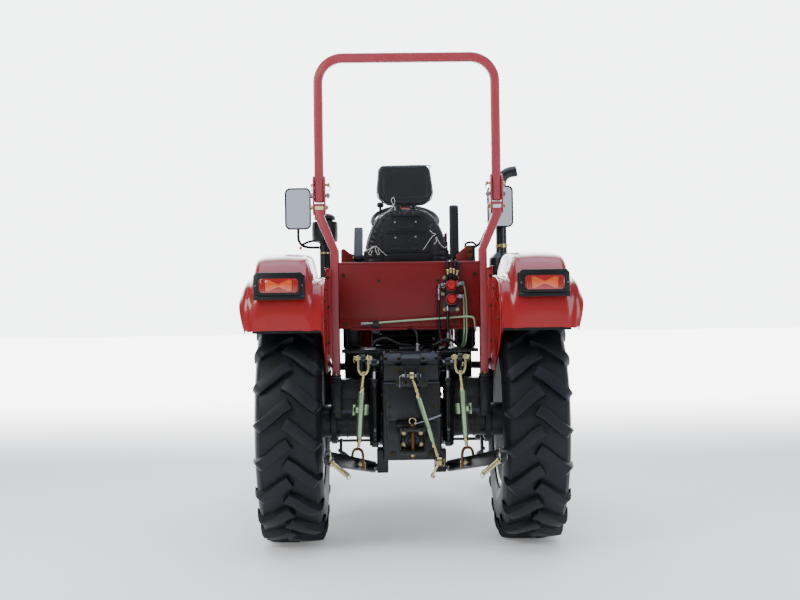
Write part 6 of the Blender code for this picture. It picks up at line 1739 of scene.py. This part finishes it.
reds.append(between((-0.185, E1 - 0.24, 0.72), (-0.185, E1 - 0.24, 0.84), 0.042, 32, 0.006))
reds.append(between((0.185, E0 + 0.24, 0.74), (0.185, E0 + 0.24, 0.85), 0.036, 32, 0.006))
blk.append(lathe([(-0.055, 0.0), (-0.055, 0.058), (-0.045, 0.064), (0.045, 0.064), (0.055, 0.058),
    (0.055, 0.0)], (0.205, E1 - 0.12, 0.94), 36, axis="Y"))
alu += [lathe([(0.058, 0.02), (0.06, 0.04), (0.074, 0.04), (0.076, 0.02)], (0.205, E1 - 0.12, 0.94), 32,
    True, "Y")]
pulley = lathe([(E1 + 0.002, 0.0), (E1 + 0.002, 0.075), (E1 + 0.008, 0.078), (E1 + 0.016, 0.066),
    (E1 + 0.024, 0.078), (E1 + 0.03, 0.075), (E1 + 0.03, 0.0)], (0, 0, 0.66), 44, axis="Y")
fan_hub = lathe([(E1 + 0.002, 0.0), (E1 + 0.002, 0.06), (E1 + 0.06, 0.055), (E1 + 0.07, 0.0)], (0, 0, 0.96),
    36, axis="Y")
blk += [pulley, fan_hub]
for i in range(7):
    a = tau * i / 7
    blade = box((0.045, 0.205), (-0.002 - SY, 0.002 - SY), (-0.03, 0.03), 0.0015, 1)
    moved(blade, Matrix.Rotation(radians(28), 4, "X"))
    blk.append(moved(moved(blade, Matrix.Rotation(a, 4, "Y")),
        Matrix.Translation((0, E1 + 0.07 + SY, 0.96))))
rub.append(tube([(0.075 * cos(t), E1 + 0.016, 0.66 + 0.075 * sin(t))
    for t in [pi + pi * k / 8 for k in range(9)]] + [(0.058, E1 + 0.016, 0.96), (-0.058, E1 + 0.016, 0.96),
    (-0.075, E1 + 0.016, 0.66)], 0.005, 8))
rub.append(tube(curve_points([(0.06, E1 - 0.06, 1.16), (0.07, E1 + 0.04, 1.24), (0.07, E1 + 0.14, 1.3),
    (0.07, E1 + 0.175, 1.32)], 8), 0.02, 18))
rub.append(tube(curve_points([(-0.08, E1 + 0.0, 0.74), (-0.12, E1 + 0.06, 0.8), (-0.14, E1 + 0.12, 0.86),
    (-0.14, E1 + 0.165, 0.86)], 8), 0.02, 18))
piece("engine_detail", "chassis", [(CASE, blk), (STEEL, alu), (HOSE, rub), (ZINC, znc), (BLACK, reds)],
    ["engine_block"])

core, frame_p = [], []
R0 = E1 + 0.16
frame_p += [box((-0.23, 0.23), (R0, R0 + 0.09), z, 0.006) for z in ((0.7803, 0.845), (1.345, 1.41))]
frame_p += [box(span(s, 0.205, 0.23), (R0, R0 + 0.09), (0.8, 1.39), 0.004) for s in (-1, 1)]
core.append(box((-0.206, 0.206), (R0 + 0.012, R0 + 0.078), (0.84, 1.35), 0.0))
for i in range(24):
    z = 0.853 + 0.0212 * i
    frame_p += [box((-0.206, 0.206), (R0 + 0.006, R0 + 0.013), (z - 0.0015, z + 0.0015), 0.0),
        box((-0.206, 0.206), (R0 + 0.077, R0 + 0.084), (z - 0.0015, z + 0.0015), 0.0)]
frame_p.append(between((0.1, R0 + 0.045, 1.4), (0.1, R0 + 0.045, 1.432), 0.026, 28, 0.003))
piece("radiator_core", "chassis", [(BLACK, frame_p), (GRILLE, core)], ["radiator"])

sup, sz, bat = [], [], []
F0 = E1 + 0.0003
for s in (-1, 1):
    sup.append(box(span(s, 0.1, 0.13), (F0, 2.51), (0.62, 0.78), 0.008))
    sz += [nut((s * 0.13, y, z), (s, 0, 0), 0.013, 0.01) for y in (1.85, 1.93) for z in (0.66, 0.74)]
sup += [box((-0.13, 0.13), (F0, F0 + 0.03), (0.62, 0.78), 0.006),
    box((-0.128, 0.128), (2.16, 2.5), (0.758, 0.779), 0.004),
    box((-0.128, 0.128), (1.9, 2.16), (0.62, 0.65), 0.005)]
sup.append(box((-0.075, 0.075), (1.96, 2.14), (0.5553, 0.66), 0.012))
sup.append(box((-0.2, 0.2), (2.5, 2.6), (0.6, 0.82), 0.014, 3))
sup += [box((-0.15, 0.15), (2.597, 2.6035), (0.64, 0.78), 0.003)]
sup += [box(span(s, 0.12, 0.15), (2.44, 2.52), (0.62, 0.8), 0.006) for s in (-1, 1)]
sz += [nut((s * 0.17, 2.6, z), (0, 1, 0), 0.013, 0.003) for s in (-1, 1) for z in (0.64, 0.78)]
bat.append(box((-0.11, 0.11), (2.24, 2.43), (0.779, 0.965), 0.01))
bat += [between((s * 0.075, 2.29, 0.96), (s * 0.075, 2.29, 0.985), 0.01, 18, 0.001) for s in (-1, 1)]
piece("front_carrier", "chassis", [(BLACK, sup), (ZINC, sz), (PLASTIC, bat)], ["front_support"])

ax, axz = [], []
YA, ZX = YF, ZF
ax.append(prism("Y", [(-0.1, ZX - 0.1), (0.1, ZX - 0.1), (0.145, ZX - 0.03), (0.145, ZX + 0.03),
    (0.105, ZX + 0.095), (-0.105, ZX + 0.095), (-0.145, ZX + 0.03), (-0.145, ZX - 0.03)], YA - 0.11,
    YA + 0.09, 0.016, 3))
ax.append(prism("Y", ring((0, ZX), 0.085, 28), YA + 0.085, YA + 0.098, 0.004))
axz += [nut((0.068 * cos(tau * i / 8), YA + 0.098, ZX + 0.068 * sin(tau * i / 8)), (0, 1, 0), 0.009, 0.007)
    for i in range(8)]
ax.append(lathe([(-0.545, 0.0), (-0.545, 0.05), (-0.4, 0.046), (-0.2, 0.052), (-0.13, 0.085), (0.13, 0.085),
    (0.2, 0.052), (0.4, 0.046), (0.545, 0.05), (0.545, 0.0)], (0, YA, ZX), 40))
ax.append(lathe([(YA - 0.19, 0.0), (YA - 0.19, 0.04), (YA - 0.172, 0.04), (YA - 0.168, 0.03),
    (YA - 0.125, 0.034), (YA - 0.1, 0.05), (YA - 0.1, 0.0)], (0, 0, ZX), 32, axis="Y"))
for s in (-1, 1):
    ax.append(rod("Z", (s * 0.55, YA), 0.052, ZX - 0.083, ZX + 0.083, 36, 0.006))
    ax.append(flip(box((0.36, 0.4), (YA - 0.055, YA + 0.055), (ZX + 0.02, ZX + 0.062), 0.006), s))
piece("front_axle_housing", "chassis", [(CASE, ax), (ZINC, axz)], ["front_axle"])

shaft = [tube([(0, 0.4203, 0.495), (0, 0.5, 0.493), (0, YA - 0.25, ZX), (0, YA - 0.1903, ZX)], 0.02, 24),
    tube([(0, 0.4203, 0.495), (0, 0.462, 0.495)], 0.033, 28),
    tube([(0, YA - 0.235, ZX), (0, YA - 0.1903, ZX)], 0.033, 28)]
shaft += [between((0, 0.7 + 0.6 * i, 0.492 - 0.0235 * (0.2 + 0.6 * i) / 1.4),
    (0, 0.74 + 0.6 * i, 0.491 - 0.0235 * (0.24 + 0.6 * i) / 1.4), 0.027, 28, 0.002) for i in range(2)]
piece("axle_drive_shaft", "chassis", [(BLACK, shaft)], ["drive_shaft"])

for s, L, word in BOTH:
    KX = 0.55
    kn, kz, ks = [], [], []
    for z0, z1 in ((ZX - 0.1115, ZX - 0.0855), (ZX + 0.0855, ZX + 0.1115)):
        kn.append(prism("Z", [(KX + 0.088, YA - 0.048), (KX + 0.088, YA + 0.048), (KX + 0.02, YA + 0.056),
            (KX - 0.03, YA + 0.045), (KX - 0.05, YA + 0.018), (KX - 0.05, YA - 0.018),
            (KX - 0.03, YA - 0.045), (KX + 0.02, YA - 0.054)], z0, z1, 0.006, 2))
    kn.append(prism("Z", [(KX - 0.045, YA + 0.02), (KX + 0.045, YA + 0.04), (KX + 0.023, YA + 0.15),
        (KX + 0.02, YA + 0.188), (KX - 0.02, YA + 0.188), (KX - 0.023, YA + 0.15)], ZX - 0.1115, ZX - 0.09,
        0.005, 2))
    kn.append(box((KX + 0.062, KX + 0.088), (YA - 0.049, YA + 0.049), (ZX - 0.105, ZX + 0.105), 0.008))
    kn.append(lathe([(KX + 0.068, 0.0), (KX + 0.068, 0.08), (KX + 0.088, 0.08), (KX + 0.094, 0.06),
        (KX + 0.14, 0.045), (KX + 0.14, 0.0)], (0, YA, ZX), 40))
    for sgn in (-1, 1):
        cz = ZX + sgn * 0.1115
        ks.append(rod("Z", (KX, YA), 0.022, min(cz, cz + sgn * 0.01), max(cz, cz + sgn * 0.01), 28, 0.003))
        kz += [nut((KX + 0.034 * cos(t), YA + 0.034 * sin(t), cz), (0, 0, sgn), 0.008, 0.006)
            for t in (0.6, 2.2, 3.8, 5.4)]
    kz += [nut((KX + 0.088 - 0.002, YA + 0.068 * cos(t), ZX + 0.068 * sin(t)), (1, 0, 0), 0.008, 0.007)
        for t in [tau * k / 8 for k in range(8)]]
    ks.append(rod("Z", (KX, YA + 0.17), 0.008, ZX - 0.1375, ZX - 0.095, 22, 0.001))
    kz.append(nut((KX, YA + 0.17, ZX - 0.09), (0, 0, 1), 0.013, 0.009, True, 0.004))
    piece(f"steering_knuckle_{L}", f"{word}_knuckle", [(CASE, kn), (STEEL, ks), (ZINC, kz)],
        [f"knuckle_{L}"], 32, s)
TZ = ZX - 0.085 - 0.0005 - 0.026 - 0.0155
rodp = [rod("X", (YA + 0.17, TZ), 0.0105, -0.52, 0.52, 22, 0.001)]
rodz = []
for s in (-1, 1):
    rodp.append(rod("Z", (s * 0.55, YA + 0.17), 0.019, TZ - 0.0125, TZ + 0.0125, 30, 0.003))
    rodp.append(flip(between((0.532, YA + 0.17, TZ), (0.47, YA + 0.17, TZ), 0.0125, 20, 0.002), s))
    rodz.append(flip(nut((0.462, YA + 0.17, TZ), (-1, 0, 0), 0.016, 0.01, False), s))
piece("steering_tie_rod", "steering_link", [(BLACK, rodp), (ZINC, rodz)], ["tie_rod"])

# ---- floor plates, steps, tank -----------------------------------------------------------
dk, grip_dots, st = [], [], []
dk.append(prism("X", [(1.0, 0.8003), (1.0, 0.8203), (0.46, 0.8203), (0.46, 1.0403), (-0.09, 1.0403),
    (-0.09, 1.0203), (0.44, 1.0203), (0.44, 0.8003)], -0.37, 0.37, 0.004))
for s in (-1, 1):
    dk.append(flip(box((0.358, 0.7), (0.7, 0.998), (0.8013, 0.8193), 0.003), s))
    dk.append(flip(prism("Y", [(0.64, 0.81), (0.64, 0.45), (0.82, 0.45), (0.82, 0.47), (0.66, 0.47),
        (0.66, 0.81)], 0.762, 0.778, 0.003), s))
    dk.append(flip(prism("Y", [(0.64, 0.81), (0.64, 0.45), (0.82, 0.45), (0.82, 0.47), (0.66, 0.47),
        (0.66, 0.81)], 0.942, 0.958, 0.003), s))
    dk.append(flip(box((0.65, 0.82), (0.762, 0.958), (0.45, 0.455), 0.001), s))
    dk.append(flip(box((0.65, 0.705), (0.765, 0.955), (0.625, 0.64), 0.003), s))
    for i in range(6):
        dk.append(flip(box((0.665 + 0.026 * i, 0.671 + 0.026 * i), (0.778, 0.942), (0.455, 0.472), 0.001,
            1), s))
for i in range(17):
    for j in range(9):
        x, y = -0.352 + 0.044 * i, 0.5 + 0.052 * j
        turnd = 45 if (i + j) % 2 else -45
        dot = prism("Z", capsule((-0.01, 0), (0.01, 0), 0.0032, 0.0032, 3), 0.0, 0.0018, 0.0)
        moved(dot, Matrix.Translation((0, -SY, 0)))
        grip_dots.append(moved(moved(dot, Matrix.Rotation(radians(turnd), 4, "Z")),
            Matrix.Translation((x, y + SY, 0.82))))
piece("floor_and_steps", "chassis", [(BLACK, dk + grip_dots)], ["platform"])

t0, t1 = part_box("fuel_tank")
tank = box((t0.x, t1.x), (t0.y - SY, t1.y - SY), (t0.z, t1.z), 0.028, 4)
straps = [box((t0.x - 0.002, t1.x), (y, y + 0.03), (t0.z - 0.002, t1.z - 0.002), 0.004)
    for y in (0.8, 0.95)]
capf = [between((t0.x - 0.028, 0.88, 0.755), (t0.x + 0.01, 0.88, 0.755), 0.03, 30, 0.005)]
piece("fuel_tank_shell", "chassis", [(PLASTIC, [tank] + capf), (BLACK, straps)], ["fuel_tank"])

# ---- floor, light and camera -------------------------------------------------------------
# The floor brightens ahead of the machine, so that from behind it meets the wall with no hard edge.
FLOOR_HALF = 120
bm = bmesh.new()
bmesh.ops.create_grid(bm, x_segments=1, y_segments=1, size=FLOOR_HALF)
floor_mesh = bpy.data.meshes.new("floor")
bm.to_mesh(floor_mesh)
bm.free()
floor = bpy.data.objects.new("floor", floor_mesh)
floor.location.z = -0.001
bpy.context.scene.collection.objects.link(floor)
floor_paint = finish_of("pale_floor", "F8F8F8", 0.9, vary=0.0, spec=0.1)
floor_mesh.materials.append(floor_paint)
tree = floor_paint.node_tree
reach = tree.nodes.new("ShaderNodeTexCoord")
far = tree.nodes.new("ShaderNodeSeparateXYZ")
tree.links.new(reach.outputs["Object"], far.inputs["Vector"])
ramp = tree.nodes.new("ShaderNodeMapRange")
ramp.interpolation_type = "SMOOTHSTEP"
for label, value in (("From Min", 2.5), ("From Max", 12.0), ("To Min", 0.18), ("To Max", 6.0)):
    ramp.inputs[label].default_value = value
tree.links.new(far.outputs["Y"], ramp.inputs["Value"])
tree.nodes["Principled BSDF"].inputs["Emission Color"].default_value = (1.0, 1.0, 1.0, 1.0)
tree.links.new(ramp.outputs["Result"], tree.nodes["Principled BSDF"].inputs["Emission Strength"])

world = bpy.data.worlds.new("studio")
bpy.context.scene.world = world
world.use_nodes = True
tree = world.node_tree
ground = tree.nodes["Background"]
ground.inputs["Color"].default_value = hex_rgb("F2F5FA")
where = tree.nodes.new("ShaderNodeTexCoord")
split = tree.nodes.new("ShaderNodeSeparateXYZ")
tree.links.new(where.outputs["Generated"], split.inputs["Vector"])
wall = tree.nodes.new("ShaderNodeMapRange")
wall.interpolation_type = "SMOOTHSTEP"
for label, value in (("From Min", 0.5), ("From Max", 0.95), ("To Min", 0.45), ("To Max", 6.0)):
    wall.inputs[label].default_value = value
tree.links.new(split.outputs["Y"], wall.inputs["Value"])
tree.links.new(wall.outputs["Result"], ground.inputs["Strength"])


def lamp(name, place, target, size, power, colour="FFFFFF"):
    """A soft rectangular light that faces a target."""
    light = bpy.data.lights.new(name, "AREA")
    light.shape = "RECTANGLE"
    light.size, light.size_y = size
    light.energy = power
    light.color = hex_rgb(colour)[:3]
    made = bpy.data.objects.new(name, light)
    made.location = place
    made.rotation_euler = (Vector(target) - Vector(place)).to_track_quat("-Z", "Y").to_euler()
    bpy.context.scene.collection.objects.link(made)
    return made


lamp("sky", (0, -1.0, 6.5), (0, 0, 0.8), (6, 6), 380, "CFE0FF")
lamp("key", (-4.2, -5.5, 4.2), (0, -0.6, 1.0), (3, 3), 260, "FFFDF8")
lamp("fill", (4.6, -4.6, 2.6), (0, -0.6, 1.0), (3, 3), 120, "EAF1FF")
lamp("back", (0, 5.5, 4.0), (0, 0, 1.2), (5, 3), 120, "E6EEFF")

LENS = 56.8
EYE_AT = (-0.157, -6.92, 1.19)      # behind the rear axle, at seat-pan height
YAW, PITCH, ROLL = -0.89, 90.96, -0.79
camera = bpy.data.cameras.new("camera")
camera.lens = LENS
camera.sensor_width = 36
camera.clip_end = 200
eye = bpy.data.objects.new("camera", camera)
turn = (Matrix.Rotation(radians(YAW), 4, "Z") @ Matrix.Rotation(radians(PITCH), 4, "X")
    @ Matrix.Rotation(radians(ROLL), 4, "Z"))
eye.matrix_world = Matrix.Translation((EYE_AT[0], EYE_AT[1] + SY, EYE_AT[2])) @ turn
bpy.context.scene.collection.objects.link(eye)
bpy.context.scene.camera = eye

bpy.context.view_layer.update()
